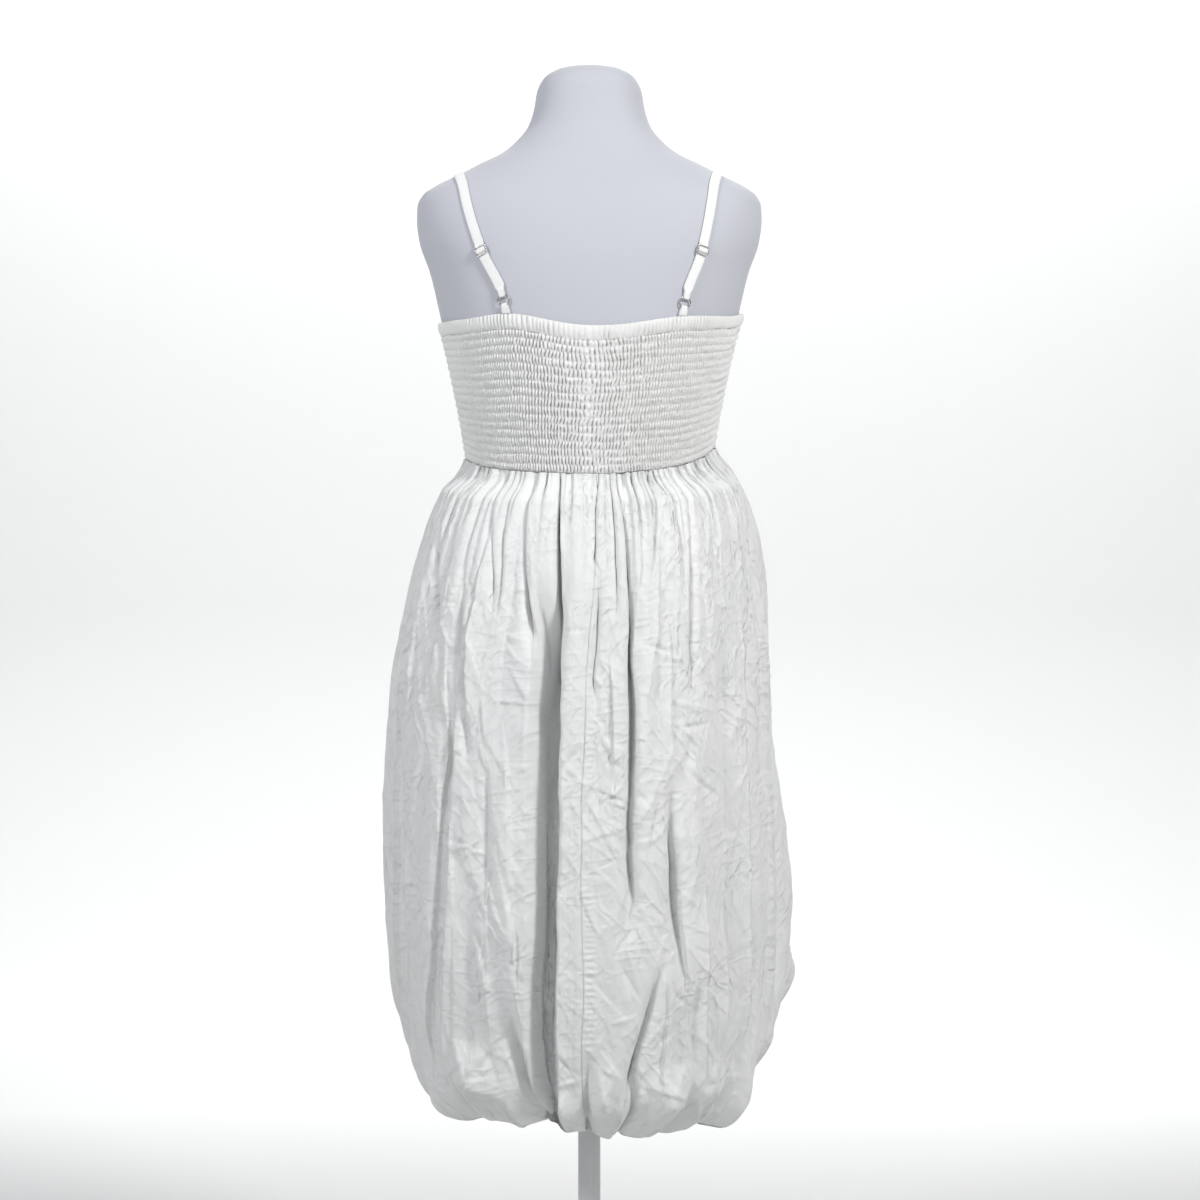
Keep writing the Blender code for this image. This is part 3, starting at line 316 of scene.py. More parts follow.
PUCKER_SPACING = Layer(1.3, 0.006, 0.02, 34)
PUCKER_STRENGTH = Layer(0.7, 0.0034, 0.0060, 35)
PUCKER_TILT = Layer(0.0006, 0.0026, 0.0040, 38)
CASING_GROOVE = Layer(1, 0.005, 1, 39)
CASING_SPACING = Layer(4.0, 0.01, 1, 36)
CASING_STRENGTH = Layer(0.9, 0.012, 0.02, 37)


class Curves:
    """Smooth curves through the columns of a table, read along its first column. They never overshoot."""

    def __init__(self, rows):
        numbers = np.array([tuple(row) for row in rows], dtype=float)
        self.names = {name: i for i, name in enumerate(rows[0]._fields[1:])}
        self.places, self.values = numbers[:, 0], numbers[:, 1:]
        steps = np.diff(self.values, axis=0) / np.diff(self.places)[:, None]
        product = steps[:-1] * steps[1:]
        total = np.where(product > 0, steps[:-1] + steps[1:], 1)
        inner = np.where(product > 0, 2 * product / total, 0)
        self.slopes = np.vstack([steps[:1], inner, steps[-1:]])

    def at(self, name, place):
        column = self.names[name]
        place = np.clip(place, self.places[0], self.places[-1])
        i = np.clip(np.searchsorted(self.places, place, side="right") - 1, 0, len(self.places) - 2)
        span = self.places[i + 1] - self.places[i]
        t = (place - self.places[i]) / span
        low, high = self.values[i, column], self.values[i + 1, column]
        start, end, rise = self.slopes[i, column] * span, self.slopes[i + 1, column] * span, high - low
        return low + t * (start + t * (3 * rise - 2 * start - end + t * (start + end - 2 * rise)))


FORM_CURVES = Curves(FORM)
SKIRT_CURVES = Curves(SKIRT)
EDGE_CURVES = Curves(EDGES)
HEM_CURVES = Curves(HEMS)
STRAP_CURVES = Curves(STRAP_WAY)
TURN_CURVES = Curves(HEM_TURN)


def smooth(low, high, value):
    t = np.clip((value - low) / (high - low), 0, 1)
    return t * t * (3 - 2 * t)


def bell(distance, width):
    return np.exp(-((distance / width) ** 2))


def turned(angle):
    """Angles in degrees between -95 and 265, as the tables have them."""
    return (np.asarray(angle) + 95) % 360 - 95


def power(value, square):
    return np.copysign(np.abs(value) ** (2 / square), value)


def half_turn_apart(difference):
    """A difference between two angles, from -180 to 180."""
    return (difference + 180) % 360 - 180


def directions(angle):
    """Outward and sideways unit vectors at angles."""
    s, c = np.sin(np.radians(angle)), np.cos(np.radians(angle))
    level = np.zeros_like(s)
    return np.stack([s, -c, level], -1), np.stack([c, s, level], -1)


def slope(i, j, k, seed, t):
    """A lattice corner's own slope, taken at the distance t from the corner."""
    n = (i * 374761393 + j * 668265263 + k * 1442695041 + seed * 1274126177) & 0xFFFFFFFF
    n = ((n ^ (n >> 13)) * 1103515245) & 0xFFFFFFFF
    n = n ^ (n >> 16)
    ways = [((n >> shift) & 255) / 127.5 - 1 for shift in (0, 8, 16)]
    return ways[0] * t[0] + ways[1] * t[1] + ways[2] * t[2]


def noise(points, size, seed):
    """Smooth noise, mostly between -1 and 1, at points, with its grain's size in x, y and z."""
    scaled = points / np.asarray(size) + 100.37
    cell = np.floor(scaled).astype(np.int64)
    t = scaled - cell
    ease = t * t * t * (t * (6 * t - 15) + 10)
    total = np.zeros(points.shape[:-1])
    for corner in np.ndindex(2, 2, 2):
        share = np.ones(points.shape[:-1])
        for axis, far in enumerate(corner):
            share = share * (ease[..., axis] if far else 1 - ease[..., axis])
        away = [t[..., axis] - far for axis, far in enumerate(corner)]
        total += share * slope(*(cell[..., axis] + far for axis, far in enumerate(corner)), seed, away)
    return total * 1.6


def on_cloth(across, up):
    """Places on the cloth laid flat, for noise."""
    return np.stack([across, np.zeros_like(across), up], -1)


def layer_noise(place, layer):
    return layer.strength * noise(place, (layer.across, 1, layer.up), layer.seed)


# Form


def form_points(angle, height, off=0.0, bridged=False):
    """Points of the form's surface, or off outside it. Cloth bridges the hollow between the bust mounds."""
    angle, height = np.broadcast_arrays(np.asarray(angle, dtype=float), np.asarray(height, dtype=float))
    s, c = np.sin(np.radians(angle)), np.cos(np.radians(angle))
    away = np.abs(turned(angle) - 180) - BUST_ANGLE
    away = np.maximum(away, 0) if bridged else np.abs(away)
    grow = off + BUST_DEPTH * bell(away, BUST_ARC) * bell(height - BUST_HEIGHT, BUST_SPREAD)
    width = FORM_CURVES.at("width", height) + grow
    depth = np.where(c > 0, FORM_CURVES.at("back", height), FORM_CURVES.at("front", height)) + grow
    y = FORM_CURVES.at("lean", height) - depth * power(c, FORM_SQUARE)
    return np.stack([width * power(s, FORM_SQUARE), y, height], -1)


# Meshes


def add_object(name, data):
    made = bpy.data.objects.new(name, data)
    bpy.context.scene.collection.objects.link(made)
    return made


def mesh_object(name, points, faces, material, uv=None, painted_shade=None):
    """A smooth mesh object that rides on the part, with a texture map in metres and a painted shade for its
    hollows.
    """
    mesh = bpy.data.meshes.new(name)
    mesh.from_pydata([tuple(p) for p in points], [], faces)
    mesh.validate()
    if uv is not None:
        layer = mesh.uv_layers.new(name="cloth")
        corners = np.empty(len(mesh.loops), dtype=np.int64)
        mesh.loops.foreach_get("vertex_index", corners)
        layer.data.foreach_set("uv", np.asarray(uv, dtype=np.float32)[corners].ravel())
    if painted_shade is not None:
        layer = mesh.color_attributes.new(name="painted_shade", type="FLOAT_COLOR", domain="POINT")
        layer.data.foreach_set("color", np.repeat(np.asarray(painted_shade, dtype=np.float32).ravel(), 4))
    mesh.shade_smooth()
    mesh.materials.append(material)
    made = add_object(name, mesh)
    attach(made, "root")
    return made


def grid_faces(rows, columns, wrap=False, ring=False):
    """Quads of a grid of points in rows. It closes sideways where it wraps, and upwards as a ring."""
    across, down = (columns if wrap else columns - 1), (rows if ring else rows - 1)
    r, c = np.meshgrid(np.arange(down), np.arange(across), indexing="ij")
    right, over = (c + 1) % columns, (r + 1) % rows
    quads = [r * columns + c, r * columns + right, over * columns + right, over * columns + c]
    return np.stack(quads, -1).reshape(-1, 4).tolist()


def grid_object(name, grid, material, uv=None, wrap=False, ring=False, painted_shade=None):
    faces = grid_faces(*grid.shape[:2], wrap, ring)
    flat_uv = None if uv is None else uv.reshape(-1, 2)
    return mesh_object(name, grid.reshape(-1, 3), faces, material, flat_uv, painted_shade)


def joined(name, parts, material):
    """One object from several lists of points and faces."""
    points, faces = [], []
    for some_points, some_faces in parts:
        start = len(points)
        points += [tuple(p) for p in some_points]
        faces += [[i + start for i in face] for face in some_faces]
    return mesh_object(name, points, faces, material)


def tube(path, radius, sides, closed=True, up=Vector((0, 0, 1))):
    """Points and faces of a wire along a path."""
    path = [Vector(p) for p in path]
    count = len(path)
    points = []
    for i, place in enumerate(path):
        before = path[i - 1] if closed or i else place
        after = path[(i + 1) % count] if closed or i + 1 < count else place
        forward = (after - before).normalized()
        side = forward.cross(up).normalized()
        over = side.cross(forward)
        for k in range(sides):
            turn = 2 * math.pi * k / sides
            points.append(place + (side * math.cos(turn) + over * math.sin(turn)) * radius)
    faces = []
    for i in range(count if closed else count - 1):
        low, high = i * sides, (i + 1) % count * sides
        faces += [[low + k, low + (k + 1) % sides, high + (k + 1) % sides, high + k] for k in range(sides)]
    if not closed:
        faces += [list(range(sides))[::-1], list(range(len(points) - sides, len(points)))]
    return points, faces


# Materials


class Shader:
    """A node material, built one node at a time."""

    def __init__(self, name, colour, roughness, metallic=0.0):
        self.material = bpy.data.materials.new(name)
        self.material.use_nodes = True
        self.tree = self.material.node_tree
        self.surface = self.tree.nodes["Principled BSDF"]
        self.surface.inputs["Base Color"].default_value = (*colour, 1)
        self.surface.inputs["Roughness"].default_value = roughness
        self.surface.inputs["Metallic"].default_value = metallic
        self.colour = colour

    def node(self, kind, links=(), **settings):
        made = self.tree.nodes.new(kind)
        for key, value in settings.items():
            setattr(made, key, value)
        for socket, source in dict(links).items():
            if isinstance(source, bpy.types.NodeSocket):
                self.tree.links.new(source, made.inputs[socket])
            else:
                made.inputs[socket].default_value = source
        return made

    def maths(self, operation, first, second=0.0):
        return self.node("ShaderNodeMath", {0: first, 1: second}, operation=operation).outputs[0]

    def vector(self, operation, first, second):
        return self.node("ShaderNodeVectorMath", {0: first, 1: second}, operation=operation).outputs[0]

    def noise(self, place, scale, detail):
        links = {"Vector": place, "Scale": scale, "Detail": detail}
        return self.node("ShaderNodeTexNoise", links).outputs["Fac"]

    def range(self, value, low, high):
        links = {"Value": value, "To Min": low, "To Max": high}
        return self.node("ShaderNodeMapRange", links).outputs["Result"]

    def tint(self, value, other):
        """The base colour, or what it is so far, drifts towards another one."""
        base = self.surface.inputs["Base Color"]
        before = base.links[0].from_socket if base.links else (*self.colour, 1)
        links = {"Factor": value, "A": before, "B": (*other, 1)}
        mix = self.node("ShaderNodeMix", links, data_type="RGBA")
        self.tree.links.new(mix.outputs["Result"], base)

    def bump(self, height, distance, strength=1.0):
        """Each call lies on the one before."""
        links = {"Height": height, "Distance": distance, "Strength": strength}
        made = self.node("ShaderNodeBump", links)
        before = self.surface.inputs["Normal"].links
        if before:
            self.tree.links.new(before[0].from_socket, made.inputs["Normal"])
        self.tree.links.new(made.outputs["Normal"], self.surface.inputs["Normal"])


# Thin crease lines of the material: their turn, how close they are across and along, and how strong
CRINKLES = table(
    "Crinkle", "turn across along part",
    (0.5, 150, 38, 0.8), (-0.6, 135, 36, 0.8), (0.05, 180, 30, 0.6), (1.35, 160, 48, 0.5),
    (0.2, 300, 90, 0.25),
)
CRINKLE_SWAY = (0.022, 0.022, 0.0)
CRINKLE_WIDTH = 0.22


def add_crinkles(cloth, place, depth):
    """Thin straight crease lines, in patches, slanting both ways."""
    bend = cloth.node("ShaderNodeTexNoise", {"Vector": place, "Scale": 22, "Detail": 2.0}).outputs["Color"]
    sway = cloth.vector("SUBTRACT", bend, (0.5, 0.5, 0.5))
    bent = cloth.vector("ADD", place, cloth.vector("MULTIPLY", sway, CRINKLE_SWAY))
    for row in CRINKLES:
        slanted = cloth.node("ShaderNodeMapping", {"Vector": bent, "Rotation": (0, 0, row.turn)}).outputs[0]
        scale = (row.across, row.along, 1)
        spread = cloth.node("ShaderNodeMapping", {"Vector": slanted, "Scale": scale}).outputs[0]
        settings = {"feature": "DISTANCE_TO_EDGE", "voronoi_dimensions": "2D"}
        lines = cloth.node("ShaderNodeTexVoronoi", {"Vector": spread, "Scale": 0.5}, **settings)
        rise = cloth.maths("MINIMUM", lines.outputs["Distance"], CRINKLE_WIDTH)
        patch = cloth.range(cloth.noise(bent, 11 + 3 * row.turn, 2.0), -1.4, 2.4)
        patch = cloth.maths("MINIMUM", cloth.maths("MAXIMUM", patch, 0.0), 1.0)
        cloth.bump(cloth.maths("MULTIPLY", rise, patch), depth * row.part * 4.5)


def woven(name, colour, drift, pitch, roughness, crinkle=0.0, hollow_shade=None):
    """Plain weave on a texture map in metres, with slubs, fine crinkles and a slow drift of colour, and
    painted shade in the hollows where a shade colour is given.
    """
    cloth = Shader(name, colour, roughness)
    cloth.surface.inputs["Sheen Weight"].default_value = 0.25
    cloth.surface.inputs["Sheen Roughness"].default_value = 0.5
    cloth.surface.inputs["Specular IOR Level"].default_value = 0.3
    place = cloth.node("ShaderNodeTexCoord")
    parts = cloth.node("ShaderNodeSeparateXYZ", {"Vector": place.outputs["UV"]})
    turns = 2 * math.pi / pitch
    across = cloth.maths("SINE", cloth.maths("MULTIPLY", parts.outputs["X"], turns))
    down = cloth.maths("SINE", cloth.maths("MULTIPLY", parts.outputs["Y"], turns))
    cloth.bump(cloth.maths("MULTIPLY", across, down), pitch * 0.16)
    slub = cloth.noise(place.outputs["Object"], 420, 2.0)
    cloth.bump(slub, 0.00016, 0.6)
    if not hollow_shade:
        cloth.bump(cloth.noise(place.outputs["Object"], 95, 4.0), 0.0009, 0.6)
    if crinkle:
        add_crinkles(cloth, place.outputs["UV"], crinkle)
    cloth.tint(cloth.range(cloth.noise(place.outputs["Object"], 14, 4.0), -0.2, 1.1), drift)
    # Painted shade: the colour darkens towards the hollow shade colour by the mesh's attribute, where the
    # cloth sinks in
    if hollow_shade:
        cloth.tint(cloth.node("ShaderNodeVertexColor", layer_name="painted_shade").outputs["Color"], hollow_shade)
    wear = cloth.range(cloth.noise(place.outputs["Object"], 60, 3.0), roughness - 0.08, roughness + 0.08)
    cloth.tree.links.new(wear, cloth.surface.inputs["Roughness"])
    return cloth.material


def jersey(name, colour, drift):
    """Fine knit of the form's cover."""
    knit = Shader(name, colour, 0.75)
    knit.surface.inputs["Sheen Weight"].default_value = 0.2
    knit.surface.inputs["Specular IOR Level"].default_value = 0.3
    place = knit.node("ShaderNodeTexCoord").outputs["Object"]
    knit.bump(knit.noise(place, 1400, 2.0), 0.0002, 0.5)
    knit.tint(knit.range(knit.noise(place, 9, 3.0), 0.0, 1.0), drift)
    wear = knit.range(knit.noise(place, 40, 3.0), 0.68, 0.82)
    knit.tree.links.new(wear, knit.surface.inputs["Roughness"])
    return knit.material


def hard(name, colour, drift, roughness, metallic, grain, depth):
    """Lacquer or metal with fine unevenness, and marks that make it rougher in places."""
    made = Shader(name, colour, roughness, metallic)
    place = made.node("ShaderNodeTexCoord").outputs["Object"]
    made.bump(made.noise(place, grain, 3.0), depth, 0.4)
    made.tint(made.range(made.noise(place, grain * 0.15, 3.0), 0.0, 1.0), drift)
    wear = made.range(made.noise(place, grain * 0.5, 4.0), roughness * 0.75, roughness * 1.35)
    made.tree.links.new(wear, made.surface.inputs["Roughness"])
    return made.material


# The shirred cloth is the same cotton as the rest, with its white painted lighter: painted light over the
# shirred back
# The shirring's hollow colour is painted shade, laid into the puckers' hollows by the mesh's attribute
WHITE, SHIRR_PAINTED_LIGHT_WHITE, SHIRR_HOLLOW_SHADE = (0.865, 0.87, 0.862), (0.95, 0.95, 0.94), (0.62, 0.62, 0.60)
COTTON = woven("cotton_poplin", WHITE, (0.82, 0.83, 0.835), 0.00055, 0.82, crinkle=0.0012)
PRESSED = woven("cotton_pressed", WHITE, (0.83, 0.84, 0.84), 0.00055, 0.82, crinkle=0.0003)
SHIRRED = woven("cotton_shirred", SHIRR_PAINTED_LIGHT_WHITE, (0.90, 0.905, 0.90), 0.00055, 0.84, hollow_shade=SHIRR_HOLLOW_SHADE)
SATIN = woven("strap_cotton", (0.94, 0.945, 0.94), (0.91, 0.915, 0.915), 0.00045, 0.55)
ELASTIC = woven("elastic_band", (0.84, 0.84, 0.83), (0.80, 0.80, 0.79), 0.0009, 0.80)
THREAD = hard("thread", (0.88, 0.88, 0.87), (0.80, 0.80, 0.79), 0.6, 0.0, 2500, 0.00005)
JERSEY = jersey("form_jersey", (0.522, 0.531, 0.585), (0.503, 0.512, 0.567))
LACQUER = hard("stand_lacquer", (0.80, 0.80, 0.81), (0.75, 0.75, 0.76), 0.38, 0.0, 300, 0.00006)
STEEL = hard("steel_wire", (0.56, 0.54, 0.51), (0.42, 0.41, 0.39), 0.26, 1.0, 900, 0.00003)


# Skirt


def skirt_outline(angle, drop):
    """The cloth's outermost place at an angle and a share of the way down, before its folds."""
    drop = np.minimum(drop, 1)
    waist = EDGE_CURVES.at("waist", turned(angle)) - SEAM_GAP / 2
    even = waist + (HEM_LEVEL - waist) * drop
    height = waist + (HEM_CURVES.at("height", turned(angle)) - waist) * drop
    s, c = np.sin(np.radians(angle)), np.cos(np.radians(angle))
    belly = POUCH_DEPTH * bell(turned(angle) - POUCH_ANGLE, POUCH_ARC) * smooth(0.4, 0.85, drop)
    width = np.where(s > 0, SKIRT_CURVES.at("right", even), SKIRT_CURVES.at("left", even)) + belly
    depth = np.where(c > 0, SKIRT_CURVES.at("back", even), SKIRT_CURVES.at("front", even)) + belly
    free = np.stack([width * power(s, SKIRT_SQUARE), -depth * power(c, SKIRT_SQUARE), height], -1)
    sewn = form_points(angle, waist, SEAM_FLARE, bridged=True)
    sewn[..., 2] = height
    share = smooth(0, 0.05, drop)[..., None]
    return sewn + (free - sewn) * share


def fold_way(row, drop, angle):
    """How many degrees angles are from the way of a fold or lap."""
    share = np.clip((drop - row.start) / (row.end - row.start), 0, 1)
    way = row.upper + (row.lower - row.upper) * share + row.bend * 4 * share * (1 - share)
    return half_turn_apart(turned(angle) - way)


def add_folds(angle, drop, inwards, sideways):
    for fold in FOLDS:
        off = fold_way(fold, drop, angle)
        fade = min(0.16, (fold.end - fold.start) * 0.4)
        along = 1 - smooth(fold.end - fade, fold.end, drop)
        if fold.start > 0:
            along = along * smooth(fold.start, fold.start + fade, drop)
        width = fold.half_width * (0.7 + 0.3 * smooth(fold.start, fold.start + 0.25, drop))
        inwards += fold.depth * along * np.exp(-np.abs(off / width) ** fold.power)
        edge = -math.copysign(1, fold.lean) * width
        sideways += fold.lean * along * bell(off - edge, width * 0.8)


LAP_EDGE = 0.30          # degrees over which the raised edge of a lap falls away
LAP_OVERHANG = 0.0022


def add_laps(angle, drop, inwards, sideways):
    for lap in LAPS:
        off = fold_way(lap, drop, angle) * lap.facing
        fade = min(0.12, (lap.end - lap.start) * 0.35)
        along = smooth(lap.start, lap.start + fade, drop) * (1 - smooth(lap.end - fade, lap.end, drop))
        slope_up = np.clip(1 + off / lap.reach, 0, 1) ** 1.6 * (off < 0)
        inwards -= lap.height * along * (slope_up + bell(off, LAP_EDGE) * (off >= 0))
        sideways += lap.facing * LAP_OVERHANG * along * bell(off + 0.25, 0.5)


def add_gathers(angle, drop, inwards, sideways):
    """Gathers sewn into the waist seam: round tubes with sharp valleys between, which merge lower down."""
    chance = np.random.default_rng(5)
    for layer in GATHERS:
        places = [-95.0]
        while places[-1] < 265:
            places.append(places[-1] + layer.pitch * chance.uniform(0.55, 1.5))
        places = np.array(places) * 360 / (places[-1] + 95) + 95 * (360 / (places[-1] + 95) - 1)
        depths = layer.depth * chance.uniform(0.5, 1.3, len(places))
        reaches = layer.nearest + (layer.farthest - layer.nearest) * chance.random(len(places)) ** 1.7
        drifts = chance.uniform(-0.35, 0.35, len(places)) * layer.pitch
        leans = chance.uniform(-1, 1, len(places)) * layer.depth * 0.5
        for i in range(len(places) - 1):
            place, half = places[i], (places[i + 1] - places[i]) / 2
            before = (places[i] - places[i - 1]) / 2 if i else (places[-1] - places[-2]) / 2
            fade = 1 - smooth(0.15 * reaches[i], reaches[i], drop)
            off = half_turn_apart(angle - place - drifts[i] * smooth(0, reaches[i], drop))
            near = (off > -before) & (off < half) & (drop < reaches[i])
            share = np.where(off[near] > 0, off[near] / half, -off[near] / before) / 2
            valley = 1 - np.sin(np.pi * share) ** 0.75
            inwards[near] += depths[i] * fade[near] * valley
            sideways[near] += leans[i] * fade[near] * np.sin(2 * np.pi * share) ** 2 * np.cos(np.pi * share)


def add_hem_gathers(angle, drop, inwards):
    """Where the hem is drawn in by its elastic: irregular tucks that die away up the skirt."""
    chance = np.random.default_rng(11)
    place = -95.0
    while place < 265:
        pitch = chance.uniform(4.0, 15.0)
        reach = 0.03 + 0.16 * chance.random() ** 1.5
        depth = chance.uniform(0.003, 0.018)
        drift = chance.uniform(-6, 6)
        width = chance.uniform(0.9, 2.4)
        along = smooth(1 - reach, 1.0, drop)
        off = half_turn_apart(turned(angle) - place - drift * (1 - along))
        inwards += depth * along * np.exp(-np.abs(off / (width * (1.4 - 0.4 * along))) ** 1.3)
        place += pitch


def add_puffs(bent, height, drop, inwards):
    """The bubbles of the hem."""
    for puff in PUFFS:
        across, up = half_turn_apart(bent - puff.angle) / puff.wide, (height - puff.height) / puff.tall
        sides = [puff.turn + 60 * i for i in range(3)]
        away = [np.abs(across * math.cos(math.radians(a)) + up * math.sin(math.radians(a))) for a in sides]
        inwards -= puff.lift * np.clip(1 - np.maximum.reduce(away), 0, 1) ** 1.15 * smooth(0.6, 0.8, drop)


CREASE_BOOST = 2.4       # how much stronger the photograph's own creases are made than their relief
CREASE_WAVER = 0.0010
CREASE_MARGIN = 0.02     # how far round a crease the cloth is looked at


def crease_lines(chance):
    """Both ends and the relief of each crease: those of the photograph, and then those at random."""
    rows = []
    for row in CREASES:
        start, end = (row.angle * ARC, row.height / 1000), (row.to_angle * ARC, row.to_height / 1000)
        rows.append((*start, *end, row.relief / 10000 * CREASE_BOOST))
    for kind in RANDOM_CREASES:
        for _ in range(kind.count):
            start = np.array([chance.uniform(-95, 265) * ARC, chance.uniform(0.33, 1.02)])
            slant = math.radians(chance.normal(*kind.slants[chance.integers(len(kind.slants))]))
            long = kind.shortest + kind.spare * chance.random() ** 1.5
            end = start + np.array([math.cos(slant), math.sin(slant)]) * long
            rows.append((*start, *end, chance.uniform(kind.low, kind.high) * chance.choice([-1, 1, 1])))
    return rows


def add_creases(round_way, height, inwards):
    """Sharp creases, as in crumpled cotton, each a crisp crest between a narrow flank and a wide one."""
    chance = np.random.default_rng(23)
    stronger = 1 - 0.5 * (np.sin(np.radians(round_way / ARC)) ** 2) ** 3
    for x, z, to_x, to_z, relief in crease_lines(chance):
        long = math.hypot(to_x - x, to_z - z) / 2
        way = np.array([to_x - x, to_z - z]) / (2 * long)
        dx, dz = round_way - (x + to_x) / 2, height - (z + to_z) / 2
        near = (np.abs(dx) < long + CREASE_MARGIN) & (np.abs(dz) < long + CREASE_MARGIN)
        along = (dx[near] * way[0] + dz[near] * way[1]) / (long * 1.15)
        away = dz[near] * way[0] - dx[near] * way[1]
        away += CREASE_WAVER * np.sin(along * chance.uniform(0.5, 3) + chance.uniform(0, 6))
        fade = np.clip(1 - along**2, 0, 1)
        narrow, wide = chance.uniform(0.0014, 0.0026), chance.uniform(0.12, 0.30) * long + 0.003
        flank = np.where(away * chance.choice([-1, 1]) > 0, narrow, wide) * (0.3 + 0.7 * fade)
        inwards[near] -= stronger[near] * relief * fade * np.clip(1 - np.abs(away) / flank, 0, 1)


def add_crumple(round_way, height, free, inwards, sideways):
    """Wide swells, long soft columns and the crumple of worn cotton, stronger in some places."""
    place = on_cloth(round_way, height)
    bent = place + on_cloth(*(layer_noise(place, layer) for layer in CREASE_BEND)) * 0.008
    for layer in SWELLS:
        inwards -= free * layer_noise(bent, layer)
    rough = np.clip(0.65 + layer_noise(place, ROUGH_PLACES), 0.25, 1.3) * free
    for row in CRUMPLE:
        c, s = math.cos(math.radians(row.turn)), math.sin(math.radians(row.turn))
        x, z = bent[..., 0] * c + bent[..., 2] * s, bent[..., 2] * c - bent[..., 0] * s
        inwards += row.depth * rough * (np.abs(noise(on_cloth(x, z), row.size, row.seed)) - 0.3)
    sideways += free * layer_noise(place, CRUMPLE_SWAY)


# Sewn lines down the skirt: the side that their allowance lies on, and how deep the line is drawn in
SEAMS = table(
    "Seam", "angle side drawn_in",
    (CENTRE_BACK_SEAM, 1, 0.0004), (SIDE_SEAM, 1, 0.0004), (-SIDE_SEAM, -1, 0.0004), (ALLOWANCE_EDGE, 1, 0),
)
PUCKER_PITCH = 0.0064
PUCKER_HEIGHT = 0.0011
ALLOWANCE_MIDDLE = 0.0060
ALLOWANCE_HALF = 0.0040


def seam_drift(drop):
    """How far the centre back seam runs to the left on its way down, in degrees."""
    return 3.5 * smooth(0.05, 0.45, drop)


def add_seam_puckers(angle, drop, height, inwards):
    """The sewn lines, and the cloth that puckers beside them."""
    for seam in SEAMS:
        line = seam.angle - seam_drift(drop) * (seam.angle == CENTRE_BACK_SEAM)
        off = half_turn_apart(turned(angle) - line) * ARC
        inwards += seam.drawn_in * np.exp(-np.abs(off) / 0.0010) * smooth(0.02, 0.1, drop)
        beside = bell(off * seam.side - ALLOWANCE_MIDDLE, ALLOWANCE_HALF) * smooth(0.3, 0.5, drop)
        turns = height * 2 * math.pi / PUCKER_PITCH + 3 * np.sin(height * 31) + 2 * np.sin(height * 77)
        uneven = 0.6 + 0.4 * np.sin(height * 23 + seam.angle)
        inwards -= PUCKER_HEIGHT * beside * np.sin(turns) * uneven


CORNERS = ((-64, 15), (66, 12))   # angle and width of the hem's lower corners
CORNER_REACH = 0.014
DEEPEST = 0.0056                  # at the waist seam, where the form is close behind the cloth


def add_hem_shape(angle, drop, place, low, corner, inwards):
    """The hem's lumps, its round turn and the bulge above it, and the first fall from the waist seam."""
    for layer in HEM_LUMPS:
        inwards -= low * layer_noise(place, layer)
    inwards += HEM_ROUND * np.cos(np.radians(angle)) ** 4 * smooth(0.93, 1, drop) ** 1.5
    inwards -= (0.007 + layer_noise(place, HEM_BULGE)) * bell(drop - 0.935, 0.045) + 0.6 * corner * low
    inwards += 0.0004 * (1 - smooth(0, 0.012, drop)) - 0.0030 * bell(drop - 0.030, 0.022)


def skirt_points(angle, drop):
    """The finished cloth. Past a drop of 1 it turns under at the hem."""
    base = skirt_outline(angle, drop)
    height = base[..., 2]
    out, side = directions(angle)
    free, low = smooth(0.03, 0.25, drop), smooth(0.86, 1, drop)
    round_way = turned(angle) * ARC
    place = on_cloth(round_way, height)
    wander = sum(layer_noise(place, layer) for layer in FOLD_WANDER)
    bent = turned(angle) + wander * smooth(0.01, 0.15, drop)
    inwards, sideways = np.zeros(angle.shape), np.zeros(angle.shape)
    add_folds(bent, drop, inwards, sideways)
    add_laps(bent, drop, inwards, sideways)
    add_gathers(bent, drop, inwards, sideways)
    add_hem_gathers(bent, drop, inwards)
    add_creases(round_way, height, inwards)
    add_crumple(round_way, height, free, inwards, sideways)
    add_seam_puckers(angle, drop, height, inwards)
    add_puffs(bent, height, drop, inwards)
    corner = CORNER_REACH * sum(bell(turned(angle) - place_at, width) for place_at, width in CORNERS)
    add_hem_shape(angle, drop, place, low, corner, inwards)
    inwards = np.minimum(inwards, DEEPEST + 0.09 * smooth(0, 0.08, drop))
    under = np.clip(drop - 1, 0, 1)
    inwards = inwards * (1 - 0.75 * smooth(0, 1, under)) + TURN_CURVES.at("inwards", under)
    points = base - out * inwards[..., None] + side * sideways[..., None]
    waves = low * layer_noise(place, HEM_WAVES) * (1 - smooth(0.3, 1, under))
    points[..., 2] += TURN_CURVES.at("up", under) + waves - (0.004 + corner) * smooth(0.9, 1, drop)
    return points


TOP_DROP = 0.16          # where the closer rows at the waist end
TOP_ROWS, TURN_ROWS = 18, 6   # percent of the rows, at the waist and where the hem turns under
WAIST_RADIUS = 0.15
ALLOWANCE_DEPTH = 0.006
LIP_DEPTH = 0.0010


